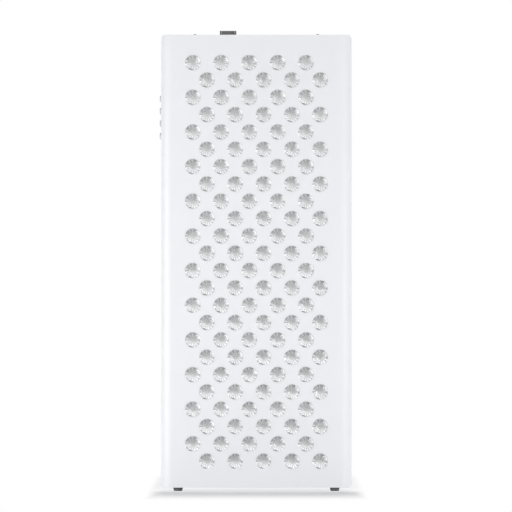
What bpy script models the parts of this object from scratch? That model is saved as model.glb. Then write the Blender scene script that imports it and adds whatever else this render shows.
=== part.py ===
"""Red light therapy panel: a tall white sheet-metal case with 120 lensed lamps in its front.

Metres, +Z up. The panel's front faces -Y and its width runs along X.
The origin is on the ground, below the middle of the case.
"""

import math

import bmesh
import bpy
from mathutils import Matrix, Vector

# Driving dimensions: the lamp grid and the margins round it give the case its width and height
LENS_ROWS = 24
LENS_COLUMNS = 5
COLUMN_PITCH = 0.0381
ROW_PITCH = 0.02335
SIDE_MARGIN = 0.04278
TOP_MARGIN = 0.0375
BOTTOM_MARGIN = 0.03545

# The case's sheet metal
SHEET = 0.0012
EDGE_RADIUS = 0.016
CORNER_RADIUS = 0.005
FLANGE_WIDTH = 0.012
COVER_INSET = 0.001

# What lies behind the front sheet, from front to back
LENS_DROP = 0.011
LENS_PLATE = 0.0015
BOARD_THICKNESS = 0.0016
SINK_BASE = 0.003
FIN_HEIGHT = 0.0125
AIR_SPACE = 0.0193
FAN_DEPTH = 0.015

# The gap between pieces that touch, and how far a cutter runs past what it cuts
GAP = 0.0003
OVERRUN = 0.002

# Feet, which set how high the case stands
FOOT_HEIGHT = 0.0048

# Fasteners
SCREW_RADIUS = 0.0015
SCREW_HEAD_RADIUS = 0.00275
SCREW_HEAD_HEIGHT = 0.0016
SCREW_GRIP = 0.004

# How finely round shapes are drawn
SCREW_SIDES = 8
LENS_SIDES = 10
ROUND_SIDES = 14
BORE_SIDES = 20
EDGE_STEPS = 6
CORNER_STEPS = 3

WELD = 0.00001
SMOOTH_ANGLE = math.radians(35)

# Worked out from the sizes above
BODY_WIDTH = (LENS_COLUMNS - 0.5) * COLUMN_PITCH + 2 * SIDE_MARGIN
BODY_HEIGHT = (LENS_ROWS - 1) * ROW_PITCH + TOP_MARGIN + BOTTOM_MARGIN
FRONT_STACK = LENS_DROP + LENS_PLATE + GAP + BOARD_THICKNESS + GAP + SINK_BASE + FIN_HEIGHT
BODY_DEPTH = FRONT_STACK + AIR_SPACE + FAN_DEPTH + GAP + SHEET

FRONT_Y = -BODY_DEPTH / 2
REAR_Y = BODY_DEPTH / 2
COVER_Y = REAR_Y - SHEET
HOUSING_REAR_Y = COVER_Y - GAP
LENS_PLATE_Y = FRONT_Y + LENS_DROP
BOARD_Y = LENS_PLATE_Y + LENS_PLATE + GAP
SINK_Y = BOARD_Y + BOARD_THICKNESS + GAP
FIN_Y = SINK_Y + SINK_BASE
RAIL_Y = FIN_Y + GAP

BOTTOM_Z = FOOT_HEIGHT + GAP
TOP_Z = BOTTOM_Z + BODY_HEIGHT
MIDDLE_Z = (BOTTOM_Z + TOP_Z) / 2
WALL_X = BODY_WIDTH / 2
INNER_X = WALL_X - SHEET
GRID_BOTTOM_Z = BOTTOM_Z + BOTTOM_MARGIN

# Turns a piece drawn about +Z so that it points to the rear, or out of the left side
TO_REAR = (-math.pi / 2, 0, 0)
TO_LEFT = (0, -math.pi / 2, 0)
UPRIGHT = (math.pi / 2, 0, 0)


for old in list(bpy.data.objects):
    bpy.data.objects.remove(old)

parts = bpy.data.collections.new("red_light_therapy_panel")
cutters = bpy.data.collections.new("cutters")
bpy.context.scene.collection.children.link(parts)
bpy.context.scene.collection.children.link(cutters)


def make_material(name, colour, roughness, metallic=0.0):
    """A plain painted, moulded or metal finish."""
    material = bpy.data.materials.new(name)
    material.use_nodes = True
    shader = material.node_tree.nodes["Principled BSDF"]
    shader.inputs["Base Color"].default_value = (*colour, 1.0)
    shader.inputs["Roughness"].default_value = roughness
    shader.inputs["Metallic"].default_value = metallic
    return material


WHITE_COAT = make_material("white_powder_coat", (0.82, 0.83, 0.85), 0.45)
CLEAR_LENS = make_material("clear_lens", (0.66, 0.67, 0.69), 0.12)
BOARD_WHITE = make_material("board_white", (0.75, 0.76, 0.75), 0.5)
BARE_ALUMINIUM = make_material("bare_aluminium", (0.62, 0.63, 0.65), 0.35, 1.0)
ZINC_STEEL = make_material("zinc_steel", (0.55, 0.56, 0.58), 0.35, 1.0)
DARK_PLASTIC = make_material("dark_plastic", (0.035, 0.035, 0.038), 0.45)
SWITCH_GREY = make_material("switch_grey", (0.12, 0.12, 0.125), 0.5)
BUTTON_GREY = make_material("button_grey", (0.60, 0.61, 0.63), 0.4)
FOOT_RUBBER = make_material("foot_rubber", (0.09, 0.09, 0.095), 0.8)
BOARD_GREEN = make_material("board_green", (0.03, 0.16, 0.07), 0.45)
LEAD_GREY = make_material("lead_sheath", (0.10, 0.10, 0.11), 0.6)
BRASS_BLADE = make_material("brass_blade", (0.60, 0.55, 0.40), 0.3, 1.0)


def place(mesh, name, location=(0, 0, 0), rotation=(0, 0, 0), material=None):
    """An object of this mesh: a part if it has a material, and a cutter if it hasn't."""
    mesh.name = name
    mesh.shade_smooth()
    mesh.set_sharp_from_angle(angle=SMOOTH_ANGLE)
    piece = bpy.data.objects.new(name, mesh)
    piece.location = location
    piece.rotation_euler = rotation
    if material is None:
        cutters.objects.link(piece)
        piece.hide_render = True
        piece.display_type = "WIRE"
    else:
        parts.objects.link(piece)
        mesh.materials.append(material)
    return piece


def box(name, low, high, material=None, location=(0, 0, 0), rotation=(0, 0, 0)):
    """A box between two corners, given about its own location."""
    low, high = Vector(low), Vector(high)
    mesh = bpy.data.meshes.new(name)
    shape = bmesh.new()
    fit = Matrix.Translation((low + high) / 2) @ Matrix.Diagonal((*(high - low), 1))
    bmesh.ops.create_cube(shape, size=1, matrix=fit)
    shape.to_mesh(mesh)
    shape.free()
    return place(mesh, name, location, rotation, material)


def boxes(name, corners, location=(0, 0, 0), rotation=(0, 0, 0)):
    """Several boxes that lie apart, as one cutter."""
    mesh = bpy.data.meshes.new(name)
    shape = bmesh.new()
    for low, high in corners:
        low, high = Vector(low), Vector(high)
        fit = Matrix.Translation((low + high) / 2) @ Matrix.Diagonal((*(high - low), 1))
        bmesh.ops.create_cube(shape, size=1, matrix=fit)
    shape.to_mesh(mesh)
    shape.free()
    return place(mesh, name, location, rotation)


def cones(name, centres, low_radius, high_radius, height, sides, rotation=(0, 0, 0)):
    """Round bars or cones along Z that start at the centres, as one cutter."""
    mesh = bpy.data.meshes.new(name)
    shape = bmesh.new()
    turn = Matrix.Rotation(rotation[0], 4, "X") @ Matrix.Rotation(rotation[1], 4, "Y")
    for centre in centres:
        bmesh.ops.create_cone(
            shape,
            cap_ends=True,
            segments=sides,
            radius1=low_radius,
            radius2=high_radius,
            depth=height,
            matrix=Matrix.Translation(centre) @ turn @ Matrix.Translation((0, 0, height / 2)),
        )
    shape.to_mesh(mesh)
    shape.free()
    return place(mesh, name)


def arc(centre, radius, start, end, steps):
    """Points along an arc, with both of its ends."""
    turns = [start + (end - start) * step / steps for step in range(steps + 1)]
    return [(centre[0] + radius * math.cos(a), centre[1] + radius * math.sin(a)) for a in turns]


def circle(centre, radius, sides):
    """Points round a whole circle."""
    return arc(centre, radius, 0, 2 * math.pi, sides)[:-1]


def square(low, high):
    """A rectangle with plain corners."""
    return [low, (high[0], low[1]), high, (low[0], high[1])]


def rounded(low, high, radius, steps):
    """A rectangle with round corners, drawn anticlockwise."""
    points = []
    corners = ((high[0], low[1]), (high[0], high[1]), (low[0], high[1]), (low[0], low[1]))
    inward = ((-1, 1), (-1, -1), (1, -1), (1, 1))
    for number, (corner, side) in enumerate(zip(corners, inward)):
        centre = (corner[0] + side[0] * radius, corner[1] + side[1] * radius)
        start = (number - 1) * math.pi / 2
        points += arc(centre, radius, start, start + math.pi / 2, steps)
    return points


def plate(name, loops, thickness, material=None, location=(0, 0, 0), rotation=(0, 0, 0)):
    """A flat outline with any holes in it, drawn in XY and as thick as given along Z."""
    curve = bpy.data.curves.new(name, "CURVE")
    curve.dimensions = "2D"
    curve.fill_mode = "BOTH"
    curve.extrude = thickness / 2
    for loop in loops:
        spline = curve.splines.new("POLY")
        spline.points.add(len(loop) - 1)
        for point, (across, up) in zip(spline.points, loop):
            point.co = (across, up, 0, 1)
        spline.use_cyclic_u = True
    return place(meshed(curve, name), name, location, rotation, material)


def meshed(curve, name):
    """The mesh of a curve, with its caps welded on."""
    drawn = bpy.data.objects.new(name + "_curve", curve)
    cutters.objects.link(drawn)
    bpy.context.view_layer.update()
    graph = bpy.context.evaluated_depsgraph_get()
    mesh = bpy.data.meshes.new_from_object(drawn.evaluated_get(graph))
    bpy.data.objects.remove(drawn)
    bpy.data.curves.remove(curve)
    shape = bmesh.new()
    shape.from_mesh(mesh)
    bmesh.ops.remove_doubles(shape, verts=shape.verts, dist=WELD)
    bmesh.ops.recalc_face_normals(shape, faces=shape.faces)
    shape.to_mesh(mesh)
    shape.free()
    return mesh


def turned(name, profile, sides, material=None, location=(0, 0, 0), rotation=(0, 0, 0)):
    """A profile of (radius, height) points, from top to bottom, turned about Z."""
    mesh = bpy.data.meshes.new(name)
    points = [(radius, 0, height) for radius, height in profile]
    mesh.from_pydata(points, [(n, n + 1) for n in range(len(points) - 1)], [])
    piece = place(mesh, name, location, rotation, material)
    screw = piece.modifiers.new("turn", "SCREW")
    screw.steps = sides
    screw.render_steps = sides
    screw.use_merge_vertices = True
    screw.merge_threshold = WELD
    screw.use_smooth_shade = True
    return piece


def smooth_route(route, steps):
    """Points along a smooth curve through the route's own points."""
    knots = [Vector(point) for point in route]
    pairs = list(zip(knots, knots[1:]))
    spans = [(after - before).length for before, after in pairs]
    slopes = [(after - before).normalized() for before, after in pairs]
    headings = [slopes[0] * spans[0]]
    for number in range(len(pairs) - 1):
        reach = min(spans[number], spans[number + 1])
        headings.append((slopes[number] + slopes[number + 1]).normalized() * reach)
    headings.append(slopes[-1] * spans[-1])
    points = []
    for number, (start, end) in enumerate(pairs):
        leaving, arriving = headings[number], headings[number + 1]
        for step in range(steps):
            t = step / steps
            bend = (3 * (end - start) - 2 * leaving - arriving) * t ** 2
            twist = (2 * (start - end) + leaving + arriving) * t ** 3
            points.append(start + leaving * t + bend + twist)
    points.append(knots[-1])
    return points


def lead(name, route, radius):
    """A round lead along a smooth route."""
    points = smooth_route(route, LEAD_STEPS)
    curve = bpy.data.curves.new(name, "CURVE")
    curve.dimensions = "3D"
    curve.bevel_depth = radius
    curve.bevel_resolution = 2
    curve.use_fill_caps = True
    spline = curve.splines.new("POLY")
    spline.points.add(len(points) - 1)
    for point, at in zip(spline.points, points):
        point.co = (*at, 1)
    return place(meshed(curve, name), name, material=LEAD_GREY)


def combine(target, other, operation):
    """Cuts the other solid from the target, joins it on, or keeps what both share."""
    change = target.modifiers.new(other.name, "BOOLEAN")
    change.operation = operation
    change.solver = "EXACT"
    change.object = other


def screw(name, location, rotation, grip, material=ZINC_STEEL):
    """A pan-head screw: its head sits above its location and its shank goes below."""
    shoulder = SCREW_HEAD_HEIGHT / 2
    profile = [
        (0, GAP + SCREW_HEAD_HEIGHT),
        (SCREW_HEAD_RADIUS - shoulder, GAP + SCREW_HEAD_HEIGHT),
        (SCREW_HEAD_RADIUS, GAP + shoulder),
        (SCREW_HEAD_RADIUS, GAP),
        (SCREW_RADIUS, GAP),
        (SCREW_RADIUS, -grip),
        (0, -grip),
    ]
    return turned(name, profile, SCREW_SIDES, material, location, rotation)


# Lamp grid: every other row is moved sideways by half a column
def lens_row(row):
    """Centres of the lamps in one row, counted from the bottom."""
    shift = COLUMN_PITCH / 4 * (1 if row % 2 == 0 else -1)
    across = [(column - (LENS_COLUMNS - 1) / 2) * COLUMN_PITCH for column in range(LENS_COLUMNS)]
    return [(shift + x, GRID_BOTTOM_Z + row * ROW_PITCH) for x in across]


LENS_RADIUS = 0.0105
LENS_BASE_RADIUS = 0.0075
LENS_PROUD = 0.001
HOLE_RADIUS = LENS_RADIUS + GAP


# Switch on the top, left of the middle
SWITCH_X = -0.0382
SWITCH_Y = 0.006
SWITCH_WIDTH = 0.0222
SWITCH_LENGTH = 0.030
SWITCH_GUARD = 0.002
SWITCH_HEIGHT = 0.0063
SWITCH_FRAME_HEIGHT = 0.0022
SWITCH_LIP = 0.0021
SWITCH_WALL = 0.0011
SWITCH_BODY_DEPTH = 0.016
SWITCH_POCKET_DEPTH = 0.005
POCKET_X = SWITCH_WIDTH / 2 - SWITCH_GUARD
SWITCH_BODY_X = POCKET_X + SWITCH_WALL
SWITCH_BODY_Y = SWITCH_LENGTH / 2 - SWITCH_LIP

ROCKER_TILT = math.radians(9)
ROCKER_CROWN = 0.0016
ROCKER_END_HEIGHT = 0.0032
ROCKER_SKIRT = 0.001
ROCKER_KEEL = 0.0035
ROCKER_KEEL_SHARE = 0.55
PIVOT_RADIUS = 0.001
PIVOT_REACH = 0.0013

POCKET_Y = SWITCH_BODY_Y - SWITCH_WALL
ROCKER_SWING = ROCKER_END_HEIGHT * math.sin(ROCKER_TILT)
ROCKER_Y = (POCKET_Y - GAP - ROCKER_SWING) / math.cos(ROCKER_TILT)
PIVOT_Z = (
    TOP_Z
    + SWITCH_HEIGHT
    - ROCKER_END_HEIGHT * math.cos(ROCKER_TILT)
    - ROCKER_Y * math.sin(ROCKER_TILT)
)


# Mains inlet in the rear cover, below the switch
INLET_X = SWITCH_X
INLET_DROP = 0.045
INLET_Z = TOP_Z - INLET_DROP
INLET_WIDTH = 0.027
INLET_HEIGHT = 0.0196
INLET_FLANGE_WIDTH = 0.050
INLET_FLANGE_HEIGHT = 0.0225
INLET_FLANGE = 0.0025
INLET_FLANGE_RADIUS = 0.004
INLET_BODY_DEPTH = 0.022
INLET_WALL = 0.0013
INLET_FLOOR = 0.0035
INLET_SCREW_PITCH = 0.040
INLET_CHAMFER = 0.003
BLADE_PITCH = 0.007
BLADE_OFFSET = 0.002
BLADE_WIDTH = 0.002
BLADE_HEIGHT = 0.004
BLADE_RECESS = 0.0055
BLADE_TAB = 0.003
INLET_FACE_Y = REAR_Y + GAP + INLET_FLANGE
INLET_BACK_Y = REAR_Y - INLET_BODY_DEPTH


# Fans and their punched grilles
FAN_RADIUS = 0.0285
FAN_WALL = 0.0015
FAN_SIZE = 2 * (FAN_RADIUS + FAN_WALL)
FAN_CORNER = 0.004
FAN_HOLE_INSET = 0.005
FAN_HOLE_PITCH = FAN_SIZE - 2 * FAN_HOLE_INSET
FAN_RISE_SHARE = 0.25
FAN_Z = [BOTTOM_Z + BODY_HEIGHT * FAN_RISE_SHARE, TOP_Z - BODY_HEIGHT * FAN_RISE_SHARE]
FAN_NAMES = ["lower", "upper"]
FAN_Y = COVER_Y - GAP - FAN_DEPTH / 2
FAN_HUB_RADIUS = 0.0155
FAN_BASE = 0.0025
FAN_PIN_RADIUS = 0.002
FAN_PIN_LENGTH = 0.008
FAN_STRUT = 0.003
FAN_STRUT_ROOT = 0.001
ROTOR_HEIGHT = 0.0105
ROTOR_CLEARANCE = 0.0015
BLADE_COUNT = 7
BLADE_CHORD = 0.013
BLADE_THICKNESS = 0.0012
BLADE_PITCH_ANGLE = math.radians(40)
GRILLE_RINGS = 3
GRILLE_ARCS = 4
GRILLE_SLOT = 0.0036
GRILLE_BRIDGE = 0.0032
GRILLE_STEPS = 4
GRILLE_PITCH = (FAN_RADIUS - GRILLE_BRIDGE) / GRILLE_RINGS


# Driver on the inside of the cover, right of the lower fan
DRIVER_WIDTH = 0.050
DRIVER_LENGTH = 0.190
DRIVER_DEPTH = 0.025
DRIVER_SIDE_SPACE = 0.022
DRIVER_EAR = 0.010
DRIVER_EAR_THICKNESS = 0.0015
DRIVER_RISE = 0.045
DRIVER_X = WALL_X - DRIVER_SIDE_SPACE - DRIVER_WIDTH / 2
DRIVER_BOTTOM_Z = BOTTOM_Z + DRIVER_RISE
DRIVER_TOP_Z = DRIVER_BOTTOM_Z + DRIVER_LENGTH
DRIVER_Y = COVER_Y - GAP
DRIVER_SCREW_Z = [DRIVER_BOTTOM_Z - DRIVER_EAR / 2, DRIVER_TOP_Z + DRIVER_EAR / 2]


# Cover screws along both rear flanges, and air slots near the cover's ends
COVER_SCREW_DROP = 0.030
COVER_SCREW_X = WALL_X - (SHEET + FLANGE_WIDTH) / 2
COVER_SCREW_Z = [BOTTOM_Z + COVER_SCREW_DROP, MIDDLE_Z, TOP_Z - COVER_SCREW_DROP]
COVER_SCREWS = [(side * COVER_SCREW_X, z) for z in COVER_SCREW_Z for side in (-1, 1)]
VENT_COUNT = 8
VENT_WIDTH = 0.0035
VENT_LENGTH = 0.026
VENT_PITCH = 0.010
VENT_DROP = 0.022
VENT_TOP_X = 0.050


# Buttons in the left side
BUTTON_COUNT = 4
BUTTON_DROP = 0.0853
BUTTON_PITCH = 0.0168
BUTTON_Y = 0.008
BUTTON_RADIUS = 0.0045
BUTTON_PROUD = 0.0024
BUTTON_ROUND = 0.0012
BUTTON_RIM = 0.0012
BUTTON_RIM_THICKNESS = 0.001
BUTTON_STEM_RADIUS = 0.0015
BUTTON_LENGTH = 0.005
BUTTON_TRAVEL = 0.001
BUTTON_Z = [TOP_Z - BUTTON_DROP - number * BUTTON_PITCH for number in range(BUTTON_COUNT)]
CONTACT_SIZE = 0.006
CONTACT_HEIGHT = 0.0035
BUTTON_BOARD_WIDTH = 0.014
BUTTON_BOARD_MARGIN = 0.014
SPACER_SIZE = 0.006
BUTTON_BOARD_X = -WALL_X + BUTTON_LENGTH + BUTTON_TRAVEL + GAP + CONTACT_HEIGHT


# Feet and hanging screws
FOOT_RADIUS = 0.00665
FOOT_TAPER = 0.0009
FOOT_ROUND = 0.0008
FOOT_STEM_RADIUS = 0.0025
FOOT_BARB = 0.0008
FOOT_BARB_HEIGHT = 0.003
FOOT_INSET = 0.0227
FOOT_Y_INSET = 0.018
FOOT_X = WALL_X - FOOT_INSET
FEET = [(side * FOOT_X, y) for y in (FRONT_Y + FOOT_Y_INSET, REAR_Y - FOOT_Y_INSET) for side in (-1, 1)]
FOOT_NAMES = ["front_left", "front_right", "rear_left", "rear_right"]

HANGER_X = 0.083
HANGER_HEAD_RADIUS = 0.0022
HANGER_HEAD_HEIGHT = 0.0018
HANGER_SHANK_RADIUS = 0.00125
HANGER_GRIP = 0.008


def case_block(name, inset, rear, material=None):
    """The case's rounded block, drawn in from its outside by an inset."""
    side = WALL_X - inset
    radius = EDGE_RADIUS - inset
    front = FRONT_Y + inset
    edge_y = FRONT_Y + EDGE_RADIUS
    outline = arc((-WALL_X + EDGE_RADIUS, edge_y), radius, math.pi, math.pi * 3 / 2, EDGE_STEPS)
    outline += arc((WALL_X - EDGE_RADIUS, edge_y), radius, math.pi * 3 / 2, math.pi * 2, EDGE_STEPS)
    outline += [(side, rear), (-side, rear)]
    height = BODY_HEIGHT - 2 * inset
    block = plate(name, [outline], height, material, (0, 0, MIDDLE_Z))
    shape = rounded(
        (-side, -height / 2),
        (side, height / 2),
        max(CORNER_RADIUS - inset, GAP),
        CORNER_STEPS,
    )
    depth = 2 * (rear - front + OVERRUN)
    silhouette = plate(name + "_silhouette", [shape], depth, None, (0, 0, MIDDLE_Z), UPRIGHT)
    combine(block, silhouette, "INTERSECT")
    return block


def front_housing():
    """One tray of folded sheet: front, sides, top and bottom, with a flange round its open back."""
    housing = case_block("front_housing", 0, HOUSING_REAR_Y, WHITE_COAT)
    combine(housing, case_block("housing_cavity", SHEET, HOUSING_REAR_Y - SHEET), "DIFFERENCE")
    opening = box(
        "housing_opening",
        (-WALL_X + FLANGE_WIDTH, HOUSING_REAR_Y - SHEET - OVERRUN, BOTTOM_Z + FLANGE_WIDTH),
        (WALL_X - FLANGE_WIDTH, HOUSING_REAR_Y + OVERRUN, TOP_Z - FLANGE_WIDTH),
    )
    combine(housing, opening, "DIFFERENCE")
    centres = [(x, FRONT_Y + SHEET + OVERRUN, z) for row in range(LENS_ROWS) for x, z in lens_row(row)]
    reach = SHEET + 2 * OVERRUN
    holes = cones("lens_holes", centres, HOLE_RADIUS, HOLE_RADIUS, reach, LENS_SIDES, UPRIGHT)
    combine(housing, holes, "DIFFERENCE")
    feet = [(x, y, BOTTOM_Z - OVERRUN) for x, y in FEET]
    stem = FOOT_STEM_RADIUS + GAP
    combine(housing, cones("foot_holes", feet, stem, stem, reach, ROUND_SIDES), "DIFFERENCE")
    hangers = [(side * HANGER_X, 0, TOP_Z - SHEET - OVERRUN) for side in (-1, 1)]
    shank = HANGER_SHANK_RADIUS + GAP
    combine(housing, cones("hanger_holes", hangers, shank, shank, reach, SCREW_SIDES), "DIFFERENCE")
    buttons = [(-WALL_X + SHEET + OVERRUN, BUTTON_Y, z) for z in BUTTON_Z]
    bore = BUTTON_RADIUS + GAP
    button_holes = cones("button_holes", buttons, bore, bore, reach, ROUND_SIDES, TO_LEFT)
    combine(housing, button_holes, "DIFFERENCE")
    flange = [(x, HOUSING_REAR_Y - SHEET - OVERRUN, z) for x, z in COVER_SCREWS]
    bolt = SCREW_RADIUS + GAP
    bolt_holes = cones("flange_holes", flange, bolt, bolt, reach, SCREW_SIDES, TO_REAR)
    combine(housing, bolt_holes, "DIFFERENCE")
    window = box(
        "switch_window",
        (SWITCH_X - SWITCH_BODY_X - GAP, SWITCH_Y - SWITCH_BODY_Y - GAP, TOP_Z - SHEET - OVERRUN),
        (SWITCH_X + SWITCH_BODY_X + GAP, SWITCH_Y + SWITCH_BODY_Y + GAP, TOP_Z + OVERRUN),
    )
    combine(housing, window, "DIFFERENCE")


def grille(centre_z):
    """Punched arcs over one fan, ring by ring."""
    loops = []
    for ring in range(1, GRILLE_RINGS + 1):
        middle = ring * GRILLE_PITCH
        half = math.pi / GRILLE_ARCS - GRILLE_BRIDGE / middle
        for number in range(GRILLE_ARCS):
            at = (number + ring / 2) * 2 * math.pi / GRILLE_ARCS
            outer, inner = middle + GRILLE_SLOT / 2, middle - GRILLE_SLOT / 2
            slot = arc((0, centre_z), outer, at - half, at + half, GRILLE_STEPS)
            slot += arc((0, centre_z), inner, at + half, at - half, GRILLE_STEPS)
            loops.append(slot)
    return loops


def vents():
    """Upright air slots: a row near the bottom, and one near the top right of the inlet."""
    loops = []
    rows = ((0, BOTTOM_Z + VENT_DROP + VENT_LENGTH / 2), (VENT_TOP_X, TOP_Z - VENT_DROP - VENT_LENGTH / 2))
    for middle, z in rows:
        for number in range(VENT_COUNT):
            x = middle + (number - (VENT_COUNT - 1) / 2) * VENT_PITCH
            low = (x - VENT_WIDTH / 2, z - VENT_LENGTH / 2)
            high = (x + VENT_WIDTH / 2, z + VENT_LENGTH / 2)
            loops.append(square(low, high))
    return loops


def fan_holes(z):
    """Where the four screws of one fan go through the cover."""
    reach = FAN_HOLE_PITCH / 2
    return [(side * reach, z + end * reach) for end in (-1, 1) for side in (-1, 1)]


def rear_cover():
    """Flat sheet over the back, with grilles, air slots, the inlet's window and screw holes."""
    bolt = SCREW_RADIUS + GAP
    low = (-WALL_X + COVER_INSET, BOTTOM_Z + COVER_INSET)
    high = (WALL_X - COVER_INSET, TOP_Z - COVER_INSET)
    loops = [rounded(low, high, CORNER_RADIUS, CORNER_STEPS)]
    for z in FAN_Z:
        loops += grille(z)
        loops += [circle(hole, bolt, SCREW_SIDES) for hole in fan_holes(z)]
    loops += vents()
    loops += [circle(hole, bolt, SCREW_SIDES) for hole in COVER_SCREWS]
    loops += [circle((DRIVER_X, z), bolt, SCREW_SIDES) for z in DRIVER_SCREW_Z]
    loops += [circle(hole, bolt, SCREW_SIDES) for hole in inlet_screw_places()]
    low = (INLET_X - INLET_WIDTH / 2 - GAP, INLET_Z - INLET_HEIGHT / 2 - GAP)
    high = (INLET_X + INLET_WIDTH / 2 + GAP, INLET_Z + INLET_HEIGHT / 2 + GAP)
    loops.append(square(low, high))
    plate("rear_cover", loops, SHEET, WHITE_COAT, (0, COVER_Y + SHEET / 2, 0), UPRIGHT)
    for number, (x, z) in enumerate(COVER_SCREWS, 1):
        screw(f"cover_screw_{number}", (x, REAR_Y, z), TO_REAR, 2 * SHEET + GAP + SCREW_GRIP)


# Lamp boards: four alike, stacked from the bottom, each with its own moulded lens sheet
BOARD_COUNT = 4
BOARD_ROWS = LENS_ROWS // BOARD_COUNT
BOARD_SPACE = 0.006
BOARD_EDGE = 0.002
SINK_SIDE_SPACE = 0.022
SINK_X = WALL_X - SINK_SIDE_SPACE
BOARD_X = SINK_X - BOARD_EDGE
PEG_RADIUS = 0.0015
PEG_INSET = 0.006


def board_span(number):
    """The bottom and top of one lamp board."""
    bottom = GRID_BOTTOM_Z + (number * BOARD_ROWS - 0.5) * ROW_PITCH + BOARD_SPACE / 2
    return bottom, bottom + BOARD_ROWS * ROW_PITCH - BOARD_SPACE


def peg_places(number):
    """Two opposite corners where the lens sheet is pegged through the board."""
    bottom, top = board_span(number)
    reach = BOARD_X - PEG_INSET
    return [(-reach, top - PEG_INSET), (reach, bottom + PEG_INSET)]


def lamp_board(number):
    """One metal-core board."""
    bottom, top = board_span(number)
    low, high = (-BOARD_X, BOARD_Y, bottom), (BOARD_X, BOARD_Y + BOARD_THICKNESS, top)
    board = box(f"led_board_{number + 1}", low, high, BOARD_WHITE)
    centres = [(x, BOARD_Y - OVERRUN, z) for x, z in peg_places(number)]
    bore = PEG_RADIUS + GAP
    reach = BOARD_THICKNESS + 2 * OVERRUN
    name = f"board_peg_holes_{number + 1}"
    combine(board, cones(name, centres, bore, bore, reach, SCREW_SIDES, TO_REAR), "DIFFERENCE")


def lens_sheet(number):
    """Thirty lenses moulded on one sheet, which widen towards the front."""
    bottom, top = board_span(number)
    low, high = (-BOARD_X, LENS_PLATE_Y, bottom), (BOARD_X, LENS_PLATE_Y + LENS_PLATE, top)
    sheet = box(f"lens_array_{number + 1}", low, high, CLEAR_LENS)
    rows = range(number * BOARD_ROWS, (number + 1) * BOARD_ROWS)
    root = LENS_PLATE_Y + LENS_PLATE / 2
    centres = [(x, root, z) for row in rows for x, z in lens_row(row)]
    height = root - FRONT_Y + LENS_PROUD
    name = f"lens_cones_{number + 1}"
    lenses = cones(name, centres, LENS_BASE_RADIUS, LENS_RADIUS, height, LENS_SIDES, UPRIGHT)
    combine(sheet, lenses, "UNION")
    pegs = [(x, root, z) for x, z in peg_places(number)]
    length = FIN_Y - root
    name = f"lens_pegs_{number + 1}"
    combine(sheet, cones(name, pegs, PEG_RADIUS, PEG_RADIUS, length, SCREW_SIDES, TO_REAR), "UNION")


# Two finned heat sinks, each behind two boards, on a rail at either side
FIN_COUNT = 15
FIN_THICKNESS = 0.0016
RAIL_THICKNESS = 0.0015
RAIL_LAP = 0.008
RAIL_DEPTH = 0.012
RAIL_END = 0.012
RAIL_SPACE = 0.0005


def heat_sink(name, first, last):
    """An extruded comb: a base plate with upright fins at its back."""
    bottom, top = board_span(first)[0], board_span(last)[1]
    reach = SINK_X - RAIL_LAP - RAIL_SPACE
    pitch = (2 * reach - FIN_THICKNESS) / (FIN_COUNT - 1)
    outline = [(-SINK_X, SINK_Y), (SINK_X, SINK_Y), (SINK_X, FIN_Y)]
    for number in reversed(range(FIN_COUNT)):
        left = -reach + number * pitch
        right = left + FIN_THICKNESS
        outline += [(right, FIN_Y), (right, FIN_Y + FIN_HEIGHT)]
        outline += [(left, FIN_Y + FIN_HEIGHT), (left, FIN_Y)]
    outline.append((-SINK_X, FIN_Y))
    sink = plate(name, [outline], top - bottom, BARE_ALUMINIUM, (0, 0, (bottom + top) / 2))
    places = [hole for number in (first, last) for hole in peg_places(number)]
    centres = [(x, SINK_Y - OVERRUN, z) for x, z in places]
    bore = PEG_RADIUS + GAP
    length = SINK_BASE + 2 * OVERRUN
    pegs = cones(name + "_peg_holes", centres, bore, bore, length, SCREW_SIDES, TO_REAR)
    combine(sink, pegs, "DIFFERENCE")


def mounting_rail(name, side):
    """A folded angle on the side wall, behind the edges of both heat sinks."""
    wall = INNER_X - GAP
    inner = SINK_X - RAIL_LAP
    outline = [
        (inner, RAIL_Y),
        (wall, RAIL_Y),
        (wall, RAIL_Y + RAIL_DEPTH),
        (wall - RAIL_THICKNESS, RAIL_Y + RAIL_DEPTH),
        (wall - RAIL_THICKNESS, RAIL_Y + RAIL_THICKNESS),
        (inner, RAIL_Y + RAIL_THICKNESS),
    ]
    outline = [(side * x, y) for x, y in outline]
    plate(name, [outline], BODY_HEIGHT - 2 * (SHEET + RAIL_END), ZINC_STEEL, (0, 0, MIDDLE_Z))


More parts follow.
